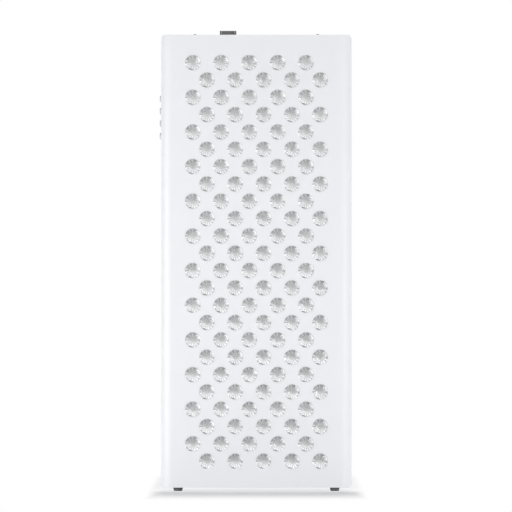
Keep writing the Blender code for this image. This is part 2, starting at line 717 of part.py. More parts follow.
def fan(name, z):
    """A square fan: its frame with four struts and a pin, and the rotor that turns on the pin."""
    half = FAN_SIZE / 2
    loops = [rounded((-half, -half), (half, half), FAN_CORNER, 2)]
    loops.append(circle((0, 0), FAN_RADIUS, BORE_SIDES))
    loops += [circle(hole, SCREW_RADIUS + GAP, SCREW_SIDES) for hole in fan_holes(0)]
    where = (0, FAN_Y, z)
    frame = plate(f"fan_frame_{name}", loops, FAN_DEPTH, DARK_PLASTIC, where, TO_REAR)
    back = FAN_DEPTH / 2
    reach = FAN_RADIUS + FAN_STRUT_ROOT
    strut = FAN_STRUT / 2
    base = [
        (0, back),
        (FAN_HUB_RADIUS, back),
        (FAN_HUB_RADIUS, back - FAN_BASE),
        (FAN_PIN_RADIUS, back - FAN_BASE),
        (FAN_PIN_RADIUS, back - FAN_BASE - FAN_PIN_LENGTH),
        (0, back - FAN_BASE - FAN_PIN_LENGTH),
    ]
    upright = box(
        f"fan_strut_upright_{name}",
        (-strut, -reach, back - FAN_BASE),
        (strut, reach, back),
        None,
        where,
        TO_REAR,
    )
    level = box(
        f"fan_strut_level_{name}",
        (-reach, -strut, back - FAN_BASE),
        (reach, strut, back),
        None,
        where,
        TO_REAR,
    )
    motor = turned(f"fan_motor_{name}", base, ROUND_SIDES, None, where, TO_REAR)
    for piece in (upright, level, motor):
        combine(frame, piece, "UNION")

    top = back - FAN_BASE - GAP
    bore = FAN_PIN_RADIUS + GAP
    hub = [
        (bore, top),
        (FAN_HUB_RADIUS, top),
        (FAN_HUB_RADIUS, top - ROTOR_HEIGHT),
        (0, top - ROTOR_HEIGHT),
        (0, top - FAN_PIN_LENGTH - GAP),
        (bore, top - FAN_PIN_LENGTH - GAP),
        (bore, top),
    ]
    rotor = turned(f"fan_rotor_{name}", hub, ROUND_SIDES, DARK_PLASTIC, where, TO_REAR)
    combine(rotor, fan_blades(name, where, top - ROTOR_HEIGHT / 2), "UNION")
    for number, (x, up) in enumerate(fan_holes(z), 1):
        screw(f"fan_screw_{name}_{number}", (x, REAR_Y, up), TO_REAR, SHEET + GAP + SCREW_GRIP * 2)


def fan_blades(name, where, height):
    """Pitched blades round a rotor's hub."""
    mesh = bpy.data.meshes.new(f"fan_blades_{name}")
    shape = bmesh.new()
    inner, outer = FAN_HUB_RADIUS - BLADE_THICKNESS, FAN_RADIUS - ROTOR_CLEARANCE
    scale = Matrix.Diagonal((outer - inner, BLADE_CHORD, BLADE_THICKNESS, 1))
    pitch = Matrix.Rotation(BLADE_PITCH_ANGLE, 4, "X")
    outward = Matrix.Translation(((inner + outer) / 2, 0, height))
    for number in range(BLADE_COUNT):
        turn = Matrix.Rotation(2 * math.pi * number / BLADE_COUNT, 4, "Z")
        bmesh.ops.create_cube(shape, size=1, matrix=turn @ outward @ pitch @ scale)
    shape.to_mesh(mesh)
    shape.free()
    return place(mesh, f"fan_blades_{name}", where, TO_REAR)


def driver():
    """The lamp driver in its can, screwed to the cover by an ear at each end."""
    half = DRIVER_WIDTH / 2
    can = box(
        "led_driver",
        (DRIVER_X - half, DRIVER_Y - DRIVER_DEPTH, DRIVER_BOTTOM_Z),
        (DRIVER_X + half, DRIVER_Y, DRIVER_TOP_Z),
        BARE_ALUMINIUM,
    )
    ears = box(
        "driver_ears",
        (DRIVER_X - half, DRIVER_Y - DRIVER_EAR_THICKNESS, DRIVER_BOTTOM_Z - DRIVER_EAR),
        (DRIVER_X + half, DRIVER_Y, DRIVER_TOP_Z + DRIVER_EAR),
    )
    combine(can, ears, "UNION")
    centres = [(DRIVER_X, DRIVER_Y - DRIVER_EAR_THICKNESS - OVERRUN, z) for z in DRIVER_SCREW_Z]
    bore = SCREW_RADIUS + GAP
    length = DRIVER_EAR_THICKNESS + 2 * OVERRUN
    holes = cones("driver_ear_holes", centres, bore, bore, length, SCREW_SIDES, TO_REAR)
    combine(can, holes, "DIFFERENCE")
    grip = SHEET + GAP + DRIVER_EAR_THICKNESS + SCREW_GRIP
    for number, z in enumerate(DRIVER_SCREW_Z, 1):
        screw(f"driver_screw_{number}", (DRIVER_X, REAR_Y, z), TO_REAR, grip)


def switch():
    """A rocker switch in the top, with a guard on each side of its rocker."""
    half_x, half_y = SWITCH_WIDTH / 2, SWITCH_LENGTH / 2
    where = (SWITCH_X, SWITCH_Y, TOP_Z)
    body = box(
        "switch_body",
        (-half_x, -half_y, GAP),
        (half_x, half_y, SWITCH_HEIGHT),
        SWITCH_GREY,
        where,
    )
    barrel = box(
        "switch_barrel",
        (-SWITCH_BODY_X, -SWITCH_BODY_Y, -SWITCH_BODY_DEPTH),
        (SWITCH_BODY_X, SWITCH_BODY_Y, SWITCH_FRAME_HEIGHT),
        None,
        where,
    )
    combine(body, barrel, "UNION")
    above = box(
        "switch_opening",
        (-POCKET_X, -half_y - OVERRUN, SWITCH_FRAME_HEIGHT),
        (POCKET_X, half_y + OVERRUN, SWITCH_HEIGHT + OVERRUN),
        None,
        where,
    )
    combine(body, above, "DIFFERENCE")
    pocket = box(
        "switch_pocket",
        (-POCKET_X, -POCKET_Y, -SWITCH_POCKET_DEPTH),
        (POCKET_X, POCKET_Y, SWITCH_FRAME_HEIGHT + OVERRUN),
        None,
        where,
    )
    combine(body, pocket, "DIFFERENCE")
    pivot = (SWITCH_X, SWITCH_Y, PIVOT_Z)
    bore = POCKET_X + PIVOT_REACH
    start = (SWITCH_X - bore, SWITCH_Y, PIVOT_Z)
    along = (0, math.pi / 2, 0)
    hole = PIVOT_RADIUS + GAP
    sockets = cones("switch_pivot_holes", [start], hole, hole, 2 * bore, SCREW_SIDES, along)
    combine(body, sockets, "DIFFERENCE")
    rocker(pivot, POCKET_X - GAP, bore - GAP)


def rocker(pivot, half_width, pin_reach):
    """The rocker, drawn level about its pivot and left tilted with its front end up."""
    keel = ROCKER_Y * ROCKER_KEEL_SHARE
    outline = [
        (-keel, -ROCKER_KEEL),
        (keel, -ROCKER_KEEL),
        (ROCKER_Y, -ROCKER_SKIRT),
        (ROCKER_Y, ROCKER_END_HEIGHT),
        (0, ROCKER_CROWN),
        (-ROCKER_Y, ROCKER_END_HEIGHT),
        (-ROCKER_Y, -ROCKER_SKIRT),
    ]
    tilt = Matrix.Rotation(-ROCKER_TILT, 4, "X")
    upright = Matrix.Rotation(math.pi / 2, 4, "Z") @ Matrix.Rotation(math.pi / 2, 4, "X")
    turn = (tilt @ upright).to_euler()
    paddle = plate("switch_rocker", [outline], 2 * half_width, SWITCH_GREY, pivot, turn)
    start = (pivot[0] - pin_reach, pivot[1], pivot[2])
    along = (0, math.pi / 2, 0)
    pins = cones("rocker_pins", [start], PIVOT_RADIUS, PIVOT_RADIUS, 2 * pin_reach, SCREW_SIDES, along)
    combine(paddle, pins, "UNION")


def inlet_screw_places():
    """The inlet's two screws, one at each side."""
    return [(INLET_X + side * INLET_SCREW_PITCH / 2, INLET_Z) for side in (-1, 1)]


def inlet():
    """A mains inlet: a flanged socket, and three blades through its floor."""
    half_w, half_h = INLET_FLANGE_WIDTH / 2, INLET_FLANGE_HEIGHT / 2
    reach = INLET_SCREW_PITCH / 2
    loops = [rounded((-half_w, -half_h), (half_w, half_h), INLET_FLANGE_RADIUS, CORNER_STEPS)]
    loops += [circle((side * reach, 0), SCREW_RADIUS + GAP, SCREW_SIDES) for side in (-1, 1)]
    where = (INLET_X, REAR_Y + GAP + INLET_FLANGE / 2, INLET_Z)
    socket = plate("inlet_socket", loops, INLET_FLANGE, DARK_PLASTIC, where, UPRIGHT)
    barrel = box(
        "inlet_barrel",
        (-INLET_WIDTH / 2, INLET_BACK_Y, -INLET_HEIGHT / 2),
        (INLET_WIDTH / 2, INLET_FACE_Y - INLET_FLANGE / 2, INLET_HEIGHT / 2),
        None,
        (INLET_X, 0, INLET_Z),
    )
    combine(socket, barrel, "UNION")
    side, end = INLET_WIDTH / 2 - INLET_WALL, INLET_HEIGHT / 2 - INLET_WALL
    mouth = [
        (-side, -end),
        (side, -end),
        (side, end - INLET_CHAMFER),
        (side - INLET_CHAMFER, end),
        (-side + INLET_CHAMFER, end),
        (-side, end - INLET_CHAMFER),
    ]
    floor_y = INLET_BACK_Y + INLET_FLOOR
    depth = INLET_FACE_Y + OVERRUN - floor_y
    middle = (INLET_X, floor_y + depth / 2, INLET_Z)
    combine(socket, plate("inlet_cavity", [mouth], depth, None, middle, UPRIGHT), "DIFFERENCE")
    names = ("live", "earth", "neutral")
    slots = []
    for number, name in enumerate(names):
        across = INLET_X + (number - 1) * BLADE_PITCH
        up = INLET_Z + BLADE_OFFSET * (1 if name == "earth" else -1)
        low = (across - BLADE_WIDTH / 2, INLET_BACK_Y - BLADE_TAB, up - BLADE_HEIGHT / 2)
        high = (across + BLADE_WIDTH / 2, INLET_FACE_Y - BLADE_RECESS, up + BLADE_HEIGHT / 2)
        box(f"inlet_blade_{name}", low, high, BRASS_BLADE)
        slots.append((
            (low[0] - GAP, INLET_BACK_Y - OVERRUN, low[2] - GAP),
            (high[0] + GAP, floor_y + OVERRUN, high[2] + GAP),
        ))
    combine(socket, boxes("inlet_blade_slots", slots), "DIFFERENCE")
    grip = INLET_FLANGE + GAP + SHEET + SCREW_GRIP
    for name, (x, z) in zip(("left", "right"), inlet_screw_places()):
        screw(f"inlet_screw_{name}", (x, INLET_FACE_Y, z), TO_REAR, grip)


def buttons():
    """Four push buttons, and the board with their contacts, spaced off the wall."""
    rim_z = -SHEET - GAP
    profile = [
        (0, BUTTON_PROUD),
        (BUTTON_RADIUS - BUTTON_ROUND, BUTTON_PROUD),
        (BUTTON_RADIUS, BUTTON_PROUD - BUTTON_ROUND),
        (BUTTON_RADIUS, rim_z),
        (BUTTON_RADIUS + BUTTON_RIM, rim_z),
        (BUTTON_RADIUS + BUTTON_RIM, rim_z - BUTTON_RIM_THICKNESS),
        (BUTTON_STEM_RADIUS, rim_z - BUTTON_RIM_THICKNESS),
        (BUTTON_STEM_RADIUS, -BUTTON_LENGTH),
        (0, -BUTTON_LENGTH),
    ]
    for number, z in enumerate(BUTTON_Z, 1):
        where = (-WALL_X, BUTTON_Y, z)
        turned(f"button_{number}", profile, ROUND_SIDES, BUTTON_GREY, where, TO_LEFT)
    half = BUTTON_BOARD_WIDTH / 2
    low_z, high_z = BUTTON_Z[-1] - BUTTON_BOARD_MARGIN, BUTTON_Z[0] + BUTTON_BOARD_MARGIN
    board = box(
        "button_board",
        (BUTTON_BOARD_X, BUTTON_Y - half, low_z),
        (BUTTON_BOARD_X + BOARD_THICKNESS, BUTTON_Y + half, high_z),
        BOARD_GREEN,
    )
    root = BUTTON_BOARD_X + BOARD_THICKNESS / 2
    contact = CONTACT_SIZE / 2
    spacer = SPACER_SIZE / 2
    blocks = []
    for z in BUTTON_Z:
        low = (BUTTON_BOARD_X - CONTACT_HEIGHT, BUTTON_Y - contact, z - contact)
        blocks.append((low, (root, BUTTON_Y + contact, z + contact)))
    for z in (low_z + spacer + GAP, high_z - spacer - GAP):
        low = (-INNER_X + GAP, BUTTON_Y - spacer, z - spacer)
        blocks.append((low, (root, BUTTON_Y + spacer, z + spacer)))
    combine(board, boxes("button_contacts", blocks), "UNION")


def feet():
    """Rubber feet, each pushed through the bottom and held by a barb."""
    low_radius = FOOT_RADIUS - FOOT_TAPER
    barb_z = 2 * GAP + SHEET
    barb_radius = FOOT_STEM_RADIUS + FOOT_BARB
    profile = [
        (0, barb_z + FOOT_BARB_HEIGHT),
        (FOOT_STEM_RADIUS, barb_z + FOOT_BARB_HEIGHT),
        (barb_radius, barb_z),
        (FOOT_STEM_RADIUS, barb_z),
        (FOOT_STEM_RADIUS, 0),
        (FOOT_RADIUS, 0),
        (low_radius, FOOT_ROUND - FOOT_HEIGHT),
        (low_radius - FOOT_ROUND, -FOOT_HEIGHT),
        (0, -FOOT_HEIGHT),
    ]
    for name, (x, y) in zip(FOOT_NAMES, FEET):
        turned(f"foot_{name}", profile, ROUND_SIDES, FOOT_RUBBER, (x, y, FOOT_HEIGHT))


def hanging_screws():
    """Small dome-head screws in the top, which hanging hardware replaces."""
    shoulder = HANGER_HEAD_HEIGHT / 2
    profile = [
        (0, GAP + HANGER_HEAD_HEIGHT),
        (HANGER_HEAD_RADIUS - shoulder, GAP + HANGER_HEAD_HEIGHT),
        (HANGER_HEAD_RADIUS, GAP + shoulder),
        (HANGER_HEAD_RADIUS, GAP),
        (HANGER_SHANK_RADIUS, GAP),
        (HANGER_SHANK_RADIUS, -HANGER_GRIP),
        (0, -HANGER_GRIP),
    ]
    for name, side in (("left", -1), ("right", 1)):
        where = (side * HANGER_X, 0, TOP_Z)
        turned(f"hanging_screw_{name}", profile, SCREW_SIDES, ZINC_STEEL, where)


# Leads inside the case: their radii, and the lanes that they follow
LEAD_RADIUS = 0.002
THIN_LEAD_RADIUS = 0.0012
LEAD_STEPS = 3
LEAD_STUB = 0.004
LEAD_BEND = 0.012
LEAD_SWEEP = 0.024
LEAD_DROP = 0.048
LEAD_SLACK = 0.005
LEAD_LANE = 0.012
FAN_LEAD_LANE = 0.020
BUTTON_LEAD_SPACE = 0.013
BUTTON_LEAD_SWEEP = 0.036
SWITCH_TERMINAL_X = 0.006
DRIVER_LEAD_X = DRIVER_X - LEAD_LANE
LAMP_LEAD_X = DRIVER_X + LEAD_LANE
FAN_LEAD_X = DRIVER_X - FAN_LEAD_LANE
BUTTON_LEAD_X = INNER_X - BUTTON_LEAD_SPACE
FLOOR_LANE_RISE = 0.018
DRIVER_LEAD_Y = DRIVER_Y - DRIVER_DEPTH / 2


def mains_leads():
    """Mains from the inlet's live blade up to the switch, and from there to the driver."""
    switch_z = TOP_Z - SWITCH_BODY_DEPTH - GAP
    live_x, switched_x = INLET_X - BLADE_PITCH, SWITCH_X + SWITCH_TERMINAL_X
    tab_y = INLET_BACK_Y - GAP - LEAD_RADIUS
    tab_z = INLET_Z - BLADE_OFFSET + BLADE_HEIGHT / 2 + GAP
    route = [
        (live_x, SWITCH_Y, switch_z),
        (live_x, SWITCH_Y, switch_z - LEAD_STUB),
        (live_x, tab_y, tab_z + LEAD_STUB),
        (live_x, tab_y, tab_z),
    ]
    lead("mains_lead", route, LEAD_RADIUS)
    lane_z = switch_z - LEAD_BEND
    driver_z = DRIVER_TOP_Z + GAP
    route = [
        (switched_x, SWITCH_Y, switch_z),
        (switched_x, SWITCH_Y, switch_z - LEAD_STUB),
        (switched_x + LEAD_BEND, SWITCH_Y, lane_z),
        (DRIVER_LEAD_X - LEAD_SWEEP, DRIVER_LEAD_Y, lane_z),
        (DRIVER_LEAD_X, DRIVER_LEAD_Y, lane_z - LEAD_SWEEP),
        (DRIVER_LEAD_X, DRIVER_LEAD_Y, MIDDLE_Z),
        (DRIVER_LEAD_X, DRIVER_LEAD_Y, driver_z),
    ]
    lead("driver_lead", route, LEAD_RADIUS)


def lamp_lead():
    """From the driver forward between the two heat sinks, to the boards' edges."""
    joint_z = board_span(BOARD_COUNT // 2)[0] - BOARD_SPACE / 2
    driver_z = DRIVER_TOP_Z + GAP
    fins_y = FIN_Y + FIN_HEIGHT
    route = [
        (LAMP_LEAD_X, DRIVER_LEAD_Y, driver_z),
        (LAMP_LEAD_X, DRIVER_LEAD_Y, driver_z + LEAD_BEND),
        (LAMP_LEAD_X, DRIVER_LEAD_Y, joint_z - LEAD_BEND),
        (LAMP_LEAD_X, fins_y + LEAD_BEND, joint_z),
        (LAMP_LEAD_X, fins_y, joint_z),
        (LAMP_LEAD_X, BOARD_Y, joint_z),
    ]
    lead("lamp_lead", route, BOARD_SPACE / 2 - GAP)


def fan_leads():
    """From each fan's side to the driver: the lower one crosses over, the upper one drops."""
    start_x = FAN_SIZE / 2 + GAP
    side_x = DRIVER_X - DRIVER_WIDTH / 2 - GAP
    lower_z, upper_z = FAN_Z
    route = [
        (start_x, FAN_Y, lower_z),
        (start_x + LEAD_STUB, FAN_Y, lower_z),
        ((start_x + side_x) / 2, FAN_Y - LEAD_SLACK, lower_z),
        (side_x - LEAD_STUB, FAN_Y, lower_z),
        (side_x, FAN_Y, lower_z),
    ]
    lead("fan_lead_lower", route, THIN_LEAD_RADIUS)
    route = [
        (start_x, FAN_Y, upper_z),
        (start_x + LEAD_STUB, FAN_Y, upper_z),
        (FAN_LEAD_X, DRIVER_LEAD_Y, upper_z - LEAD_DROP),
        (FAN_LEAD_X, DRIVER_LEAD_Y, MIDDLE_Z),
        (FAN_LEAD_X, DRIVER_LEAD_Y, DRIVER_TOP_Z + GAP),
    ]
    lead("fan_lead_upper", route, THIN_LEAD_RADIUS)


def button_lead():
    """From the button board down the left wall, along the bottom, and up into the driver."""
    board_x = BUTTON_BOARD_X + BOARD_THICKNESS / 2
    board_z = BUTTON_Z[-1] - BUTTON_BOARD_MARGIN - GAP
    lane_z = BOTTOM_Z + FLOOR_LANE_RISE
    driver_z = DRIVER_BOTTOM_Z - GAP
    route = [
        (board_x, BUTTON_Y, board_z),
        (board_x, BUTTON_Y, board_z - LEAD_STUB),
        (-BUTTON_LEAD_X, DRIVER_LEAD_Y, MIDDLE_Z),
        (-BUTTON_LEAD_X, DRIVER_LEAD_Y, lane_z + LEAD_DROP),
        (-BUTTON_LEAD_X + BUTTON_LEAD_SWEEP, DRIVER_LEAD_Y, lane_z),
        (DRIVER_LEAD_X - LEAD_SWEEP, DRIVER_LEAD_Y, lane_z),
        (DRIVER_LEAD_X, DRIVER_LEAD_Y, driver_z - LEAD_STUB),
        (DRIVER_LEAD_X, DRIVER_LEAD_Y, driver_z),
    ]
    lead("button_lead", route, THIN_LEAD_RADIUS)


front_housing()
rear_cover()
for board_number in range(BOARD_COUNT):
    lamp_board(board_number)
    lens_sheet(board_number)
heat_sink("heat_sink_lower", 0, 1)
heat_sink("heat_sink_upper", 2, 3)
mounting_rail("mounting_rail_left", -1)
mounting_rail("mounting_rail_right", 1)
for fan_name, fan_z in zip(FAN_NAMES, FAN_Z):
    fan(fan_name, fan_z)
driver()
switch()
inlet()
buttons()
feet()
hanging_screws()
mains_leads()
lamp_lead()
fan_leads()
button_lead()
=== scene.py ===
"""The looks of a red light therapy panel: white coated case, clear faceted lenses, switch, fans."""

import math

import bpy
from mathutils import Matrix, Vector


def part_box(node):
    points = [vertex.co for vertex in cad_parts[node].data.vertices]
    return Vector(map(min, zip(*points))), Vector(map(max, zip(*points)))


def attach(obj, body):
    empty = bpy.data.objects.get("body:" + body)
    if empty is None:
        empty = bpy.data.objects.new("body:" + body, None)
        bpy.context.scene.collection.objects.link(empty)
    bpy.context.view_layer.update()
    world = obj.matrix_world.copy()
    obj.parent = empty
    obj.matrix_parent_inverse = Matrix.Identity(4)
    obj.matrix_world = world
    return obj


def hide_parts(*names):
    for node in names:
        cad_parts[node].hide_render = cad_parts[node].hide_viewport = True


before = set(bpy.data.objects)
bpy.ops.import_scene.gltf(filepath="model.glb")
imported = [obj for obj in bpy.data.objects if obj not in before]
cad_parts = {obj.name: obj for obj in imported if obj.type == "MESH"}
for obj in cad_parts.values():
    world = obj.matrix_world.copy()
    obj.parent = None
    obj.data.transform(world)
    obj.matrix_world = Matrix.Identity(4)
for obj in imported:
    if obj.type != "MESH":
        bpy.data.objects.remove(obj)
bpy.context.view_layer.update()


def corners(node):
    """The low and high corner of a CAD node's box."""
    return [Vector(corner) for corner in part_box(node)]


# Camera: square-on, far back, at mid-height, framed by the width it sees at the lamp face
VIEW_SPAN = 0.6896
VIEW_DISTANCE = 8.0
VIEW_HEIGHT = 0.3171
VIEW_X = -0.0005
SENSOR = 36.0

# The case, as the frame has it
CASE_LOW, CASE_HIGH = corners("front_housing")
COVER_LOW, COVER_HIGH = corners("rear_cover")
SHEET = COVER_HIGH.y - COVER_LOW.y
EDGE_RADIUS = 0.016
EDGE_STEPS = 18
CORNER_RADIUS = 0.005
CORNER_STEPS = 8
FOLD_EDGE = 0.0006
FLANGE_WIDTH = 0.012
OVERRUN = 0.003
CLEARANCE = 0.0003

# Lamp grid
LENS_ROWS = 24
LENS_COLUMNS = 5
COLUMN_PITCH = 0.0381
ROW_PITCH = 0.02335
ROW_SHIFT = COLUMN_PITCH / 4
BOTTOM_MARGIN = 0.03545
BOARD_COUNT = 4
BOARD_ROWS = LENS_ROWS // BOARD_COUNT
HOLE_RADIUS = 0.01065
HOLE_SIDES = 40
HOLE_EASE = 0.00025

# Lenses, drawn about +Z with the case's face at zero
LENS_RADIUS = 0.0105
LENS_BASE_RADIUS = 0.0075
LENS_PROUD = 0.001
LENS_DEPTH = 0.011
DOME_RADIUS = 0.01055
DOME_RIM_DEPTH = 0.0011
DOME_EDGE = 0.0003
DOME_SHARES = (0.9, 0.76, 0.58, 0.36, 0.14)
DOME_SIDES = 32
CUP_SIDES = 30
CUP_RIBS = 10
CUP_RADIUS = 0.01055
CUP_RIM = 0.0006
CUP_FACING = 0.1
CUP_RIM_DEPTH = 0.0016
RIM_THICKNESS = 0.0004
CUP_BAND_RADIUS = 0.0082
CUP_BAND_DEPTH = 0.0029
CUP_FLOOR_RADIUS = 0.0060
CUP_FLOOR_DEPTH = 0.0046
CUP_LEDGE = 0.0003
CUP_DISH = 0.0012
CUP_LEDGE_RADIUS = CUP_FLOOR_RADIUS * 0.92
CUP_SLOPE_RADIUS = CUP_FLOOR_RADIUS * 0.55
CUP_SLOPE_DISH = CUP_DISH * 0.6
CUP_BOTTOM_RADIUS = CUP_FLOOR_RADIUS * 0.22
RIB_TURN = 18
RIB_HEIGHT = 0.0004
CHIP_SIZE = 0.0017
CHIP_HEIGHT = 0.0006

# Painted tones of a lens's facets, which stand in for its reflections and for light from above: pairs
# go from its dark top to its light lower part, and turns are in degrees
# The painted light from above: where it starts, over how far it grows, and how much sooner it starts
# towards the sides
PAINTED_LIGHT_START = 0.12
PAINTED_LIGHT_SPAN = 0.85
PAINTED_LIGHT_SIDE = 0.25
RIM_TONE = 0.76
# Dark marks painted on the rim's facets; those on ribs fade towards FAINT_TONE in the lower part with
# the painted light, except at the plain turns
MARK_TONE = 0.2
MARK_TURN = 198
MARK_REACH = 15
# A painted highlight on the rim's facets at the upper right
PAINTED_HIGHLIGHT_TONE = 0.8
PAINTED_HIGHLIGHT_TURN = 62
PAINTED_HIGHLIGHT_REACH = 17
FAINT_TONE = 0.38
PLAIN_TURNS = (162, 270)
# How much lighter and darker alternate facets are painted, as reflections that change from facet to
# facet; then the dark and light tones of ribs, plain facets and the cup's floor
TONE_STEP = 0.24
RIB_TONES = (0.23, 0.63)
FACET_TONES = (0.4, 0.69)
FLOOR_TONES = (0.315, 0.66)

# Rear cover
GRILLE_RINGS = 3
GRILLE_ARCS = 4
GRILLE_SLOT = 0.0036
GRILLE_BRIDGE = 0.0032
GRILLE_SIDES = 72
VENT_COUNT = 8
VENT_WIDTH = 0.0035
VENT_LENGTH = 0.026
VENT_PITCH = 0.010
VENT_END_RADIUS = VENT_WIDTH * 0.49
VENT_END_STEPS = 6
VENT_ROWS = ((0, 0.0401), (0.050, 0.5801))
SHEET_EASE = 0.0002
FAN_NAMES = ("lower", "upper")
FAN_SCREWS = [f"fan_screw_{name}_{number}" for name in FAN_NAMES for number in range(1, 5)]
COVER_SCREWS = [f"cover_screw_{number}" for number in range(1, 7)] + FAN_SCREWS
COVER_SCREWS += ["driver_screw_1", "driver_screw_2"]
INLET_SCREWS = ["inlet_screw_left", "inlet_screw_right"]
HANGING_SCREWS = ["hanging_screw_left", "hanging_screw_right"]

# Screws
SCREW_RADIUS = 0.0015
SCREW_HEAD_HEIGHT = 0.0016
SCREW_SIDES = 28
SCREW_HOLE_RADIUS = SCREW_RADIUS + CLEARANCE
SCREW_HOLE_SIDES = 20
SCREW_TIP_SHARE = 0.6
SCREW_TIP_RISE = 0.5
SCREW_RECESS = 0.0007
SCREW_RECESS_DEPTH = 0.0011
SCREW_RECESS_SHARE = 0.55
HANGER_HEAD_HEIGHT = 0.0018
HANGER_SHANK_RADIUS = 0.00125
HANGER_SIDES = 32
HANGER_SOCKET_SHARE = 0.32
HANGER_SOCKET_DEPTH = HANGER_HEAD_HEIGHT * 0.6

# A head's outline from its rim to its top, in shares of its radius and height
PAN_HEAD = ((1, 1), (1, 0.62), (0.93, 0.32), (0.76, 0.12), (0.5, 0))
DOME_HEAD = ((0.97, 1), (1, 0.9), (0.98, 0.66), (0.9, 0.4), (0.74, 0.17), (0.5, 0.04), (0.3, 0))

# Side buttons and feet
BUTTON_RADIUS = 0.0045
BUTTON_SIDES = 36
BUTTON_HOLE_SIDES = 28
BUTTON_ROUND = 0.0014
BUTTON_ROUND_STEPS = 4
BUTTON_STEM_RADIUS = 0.0015
BUTTON_COLLAR = 0.001
BUTTON_DISH = 0.0001
BUTTON_DISH_SHARE = 0.5
BUTTON_BODIES = ("button_top", "button_second", "button_third", "button_bottom")
FOOT_NAMES = ("front_left", "front_right", "rear_left", "rear_right")
FOOT_SIDES = 40
FOOT_HEIGHT = 0.0048
FOOT_TAPER = 0.0009
FOOT_ROUND = 0.0008
FOOT_ROUND_STEPS = 3
FOOT_SOLE_INSET = FOOT_ROUND * 1.6
FOOT_TOP_EDGE = 0.0003
FOOT_STEM_RADIUS = 0.0025
FOOT_BARB = 0.0008
FOOT_BARB_HEIGHT = 0.003

# Rocker switch
SWITCH_CORNER = 0.0012
SWITCH_CORNER_STEPS = 5
SWITCH_EASE = 0.0003
SWITCH_LIP = 0.0005
SWITCH_LIP_Y = 0.0021
SWITCH_GUARD = 0.002
SWITCH_WALL = 0.0011
SWITCH_FRAME = 0.0022
SWITCH_POCKET = 0.005
ROCKER_PIVOT_Z = 0.6164973
ROCKER_TILT = math.radians(9)
ROCKER_REACH = 0.01114
ROCKER_CROWN = 0.0016
ROCKER_END = 0.0032
ROCKER_SKIRT = 0.001
ROCKER_KEEL = 0.0035
ROCKER_KEEL_SHARE = 0.55
ROCKER_EASE = 0.0004
ROCKER_SAG = ROCKER_END - ROCKER_CROWN
SADDLE_RADIUS = (ROCKER_REACH ** 2 + ROCKER_SAG ** 2) / (2 * ROCKER_SAG)
SADDLE_SIDES = 180
PIVOT_RADIUS = 0.001
PIVOT_SIDES = 20
PIVOT_REACH = 0.0013

# Mains inlet
INLET_X = -0.0382
INLET_Z = 0.5701
INLET_WIDTH = 0.027
INLET_HEIGHT = 0.0196
INLET_RADIUS = 0.004
INLET_WALL = 0.0013
INLET_FLOOR = 0.0035
INLET_CHAMFER = 0.003
INLET_BARREL_DROP = 0.0012
INLET_EASE = 0.0005
INLET_BLADES = ("live", "earth", "neutral")

# Fans
FAN_RADIUS = 0.0285
FAN_BORE_SIDES = 80
FAN_CORNER = 0.004
FAN_CORNER_STEPS = 6
FAN_EASE = 0.0004
FAN_HUB_RADIUS = 0.0155
FAN_BASE = 0.0025
FAN_SEAT_SIDES = 64
FAN_PIN_RADIUS = 0.002
FAN_PIN_LENGTH = 0.008
FAN_PIN_SIDES = 24
FAN_STRUT = 0.003
FAN_STRUT_OVERLAP = 0.001
FAN_HOLE_REACH = 0.025
HUB_SIDES = 56
HUB_ROUND = 0.0015
HUB_SHOULDER_IN = 0.0004
HUB_SHOULDER_DROP = 0.0005
BLADE_COUNT = 7
BLADE_CHORD = 0.0125
BLADE_THICKNESS = 0.0012
BLADE_STEPS = 4
BLADE_EASE = 0.0003
BLADE_OVERLAP = 0.001
BLADE_TIP_GAP = 0.0016
BLADE_ROOT_ANGLE = math.radians(44)
BLADE_TIP_ANGLE = math.radians(34)
GRILLE_PITCH = (FAN_RADIUS - GRILLE_BRIDGE) / GRILLE_RINGS


def deselect():
    """Object mode, with nothing selected."""
    if bpy.context.mode != "OBJECT":
        bpy.ops.object.mode_set(mode="OBJECT")
    bpy.ops.object.select_all(action="DESELECT")


def activate(piece):
    """Makes this piece the only one selected."""
    deselect()
    piece.select_set(True)
    bpy.context.view_layer.objects.active = piece


def settle(piece):
    """Leaves the piece's object at the origin, with its place in its mesh."""
    activate(piece)
    bpy.ops.object.transform_apply(location=True, rotation=True, scale=True)
    return piece


def name_piece(name):
    """Names the primitive that was just added, and settles it."""
    piece = bpy.context.active_object
    piece.name = name
    piece.data.name = name
    return settle(piece)


def block(name, low, high):
    """A box between two corners."""
    deselect()
    low, high = Vector(low), Vector(high)
    bpy.ops.mesh.primitive_cube_add(size=1, location=(low + high) / 2, scale=high - low)
    return name_piece(name)


def edit_edges(piece, wanted):
    """Edit mode with only the edges selected whose two ends pass the test."""
    activate(piece)
    bpy.ops.object.mode_set(mode="EDIT")
    bpy.ops.mesh.select_mode(type="EDGE")
    bpy.ops.mesh.select_all(action="DESELECT")
    bpy.ops.object.mode_set(mode="OBJECT")
    points = piece.data.vertices
    for edge in piece.data.edges:
        start, end = (points[corner].co for corner in edge.vertices)
        edge.select = wanted(start, end)
    bpy.ops.object.mode_set(mode="EDIT")


def edit_faces(piece, wanted):
    """Edit mode with only the faces selected whose centre and normal pass the test."""
    activate(piece)
    bpy.ops.object.mode_set(mode="EDIT")
    bpy.ops.mesh.select_mode(type="FACE")
    bpy.ops.mesh.select_all(action="DESELECT")
    bpy.ops.object.mode_set(mode="OBJECT")
    for face in piece.data.polygons:
        face.select = wanted(face.center, face.normal)
    bpy.ops.object.mode_set(mode="EDIT")


def round_edges(piece, wanted, radius, steps):
    """Rounds the wanted edges to a radius."""
    edit_edges(piece, wanted)
    bpy.ops.mesh.bevel(offset=radius, segments=steps, affect="EDGES")
    bpy.ops.object.mode_set(mode="OBJECT")


def near(value, target):
    """Whether two lengths are the same, to a hundredth of a millimetre."""
    return abs(value - target) < 0.00001


def runs_back(start, end):
    """Whether an edge runs straight from front to back."""
    return near(start.x, end.x) and near(start.z, end.z)


def stands(start, end):
    """Whether an edge stands upright."""
    return near(start.x, end.x) and near(start.y, end.y)


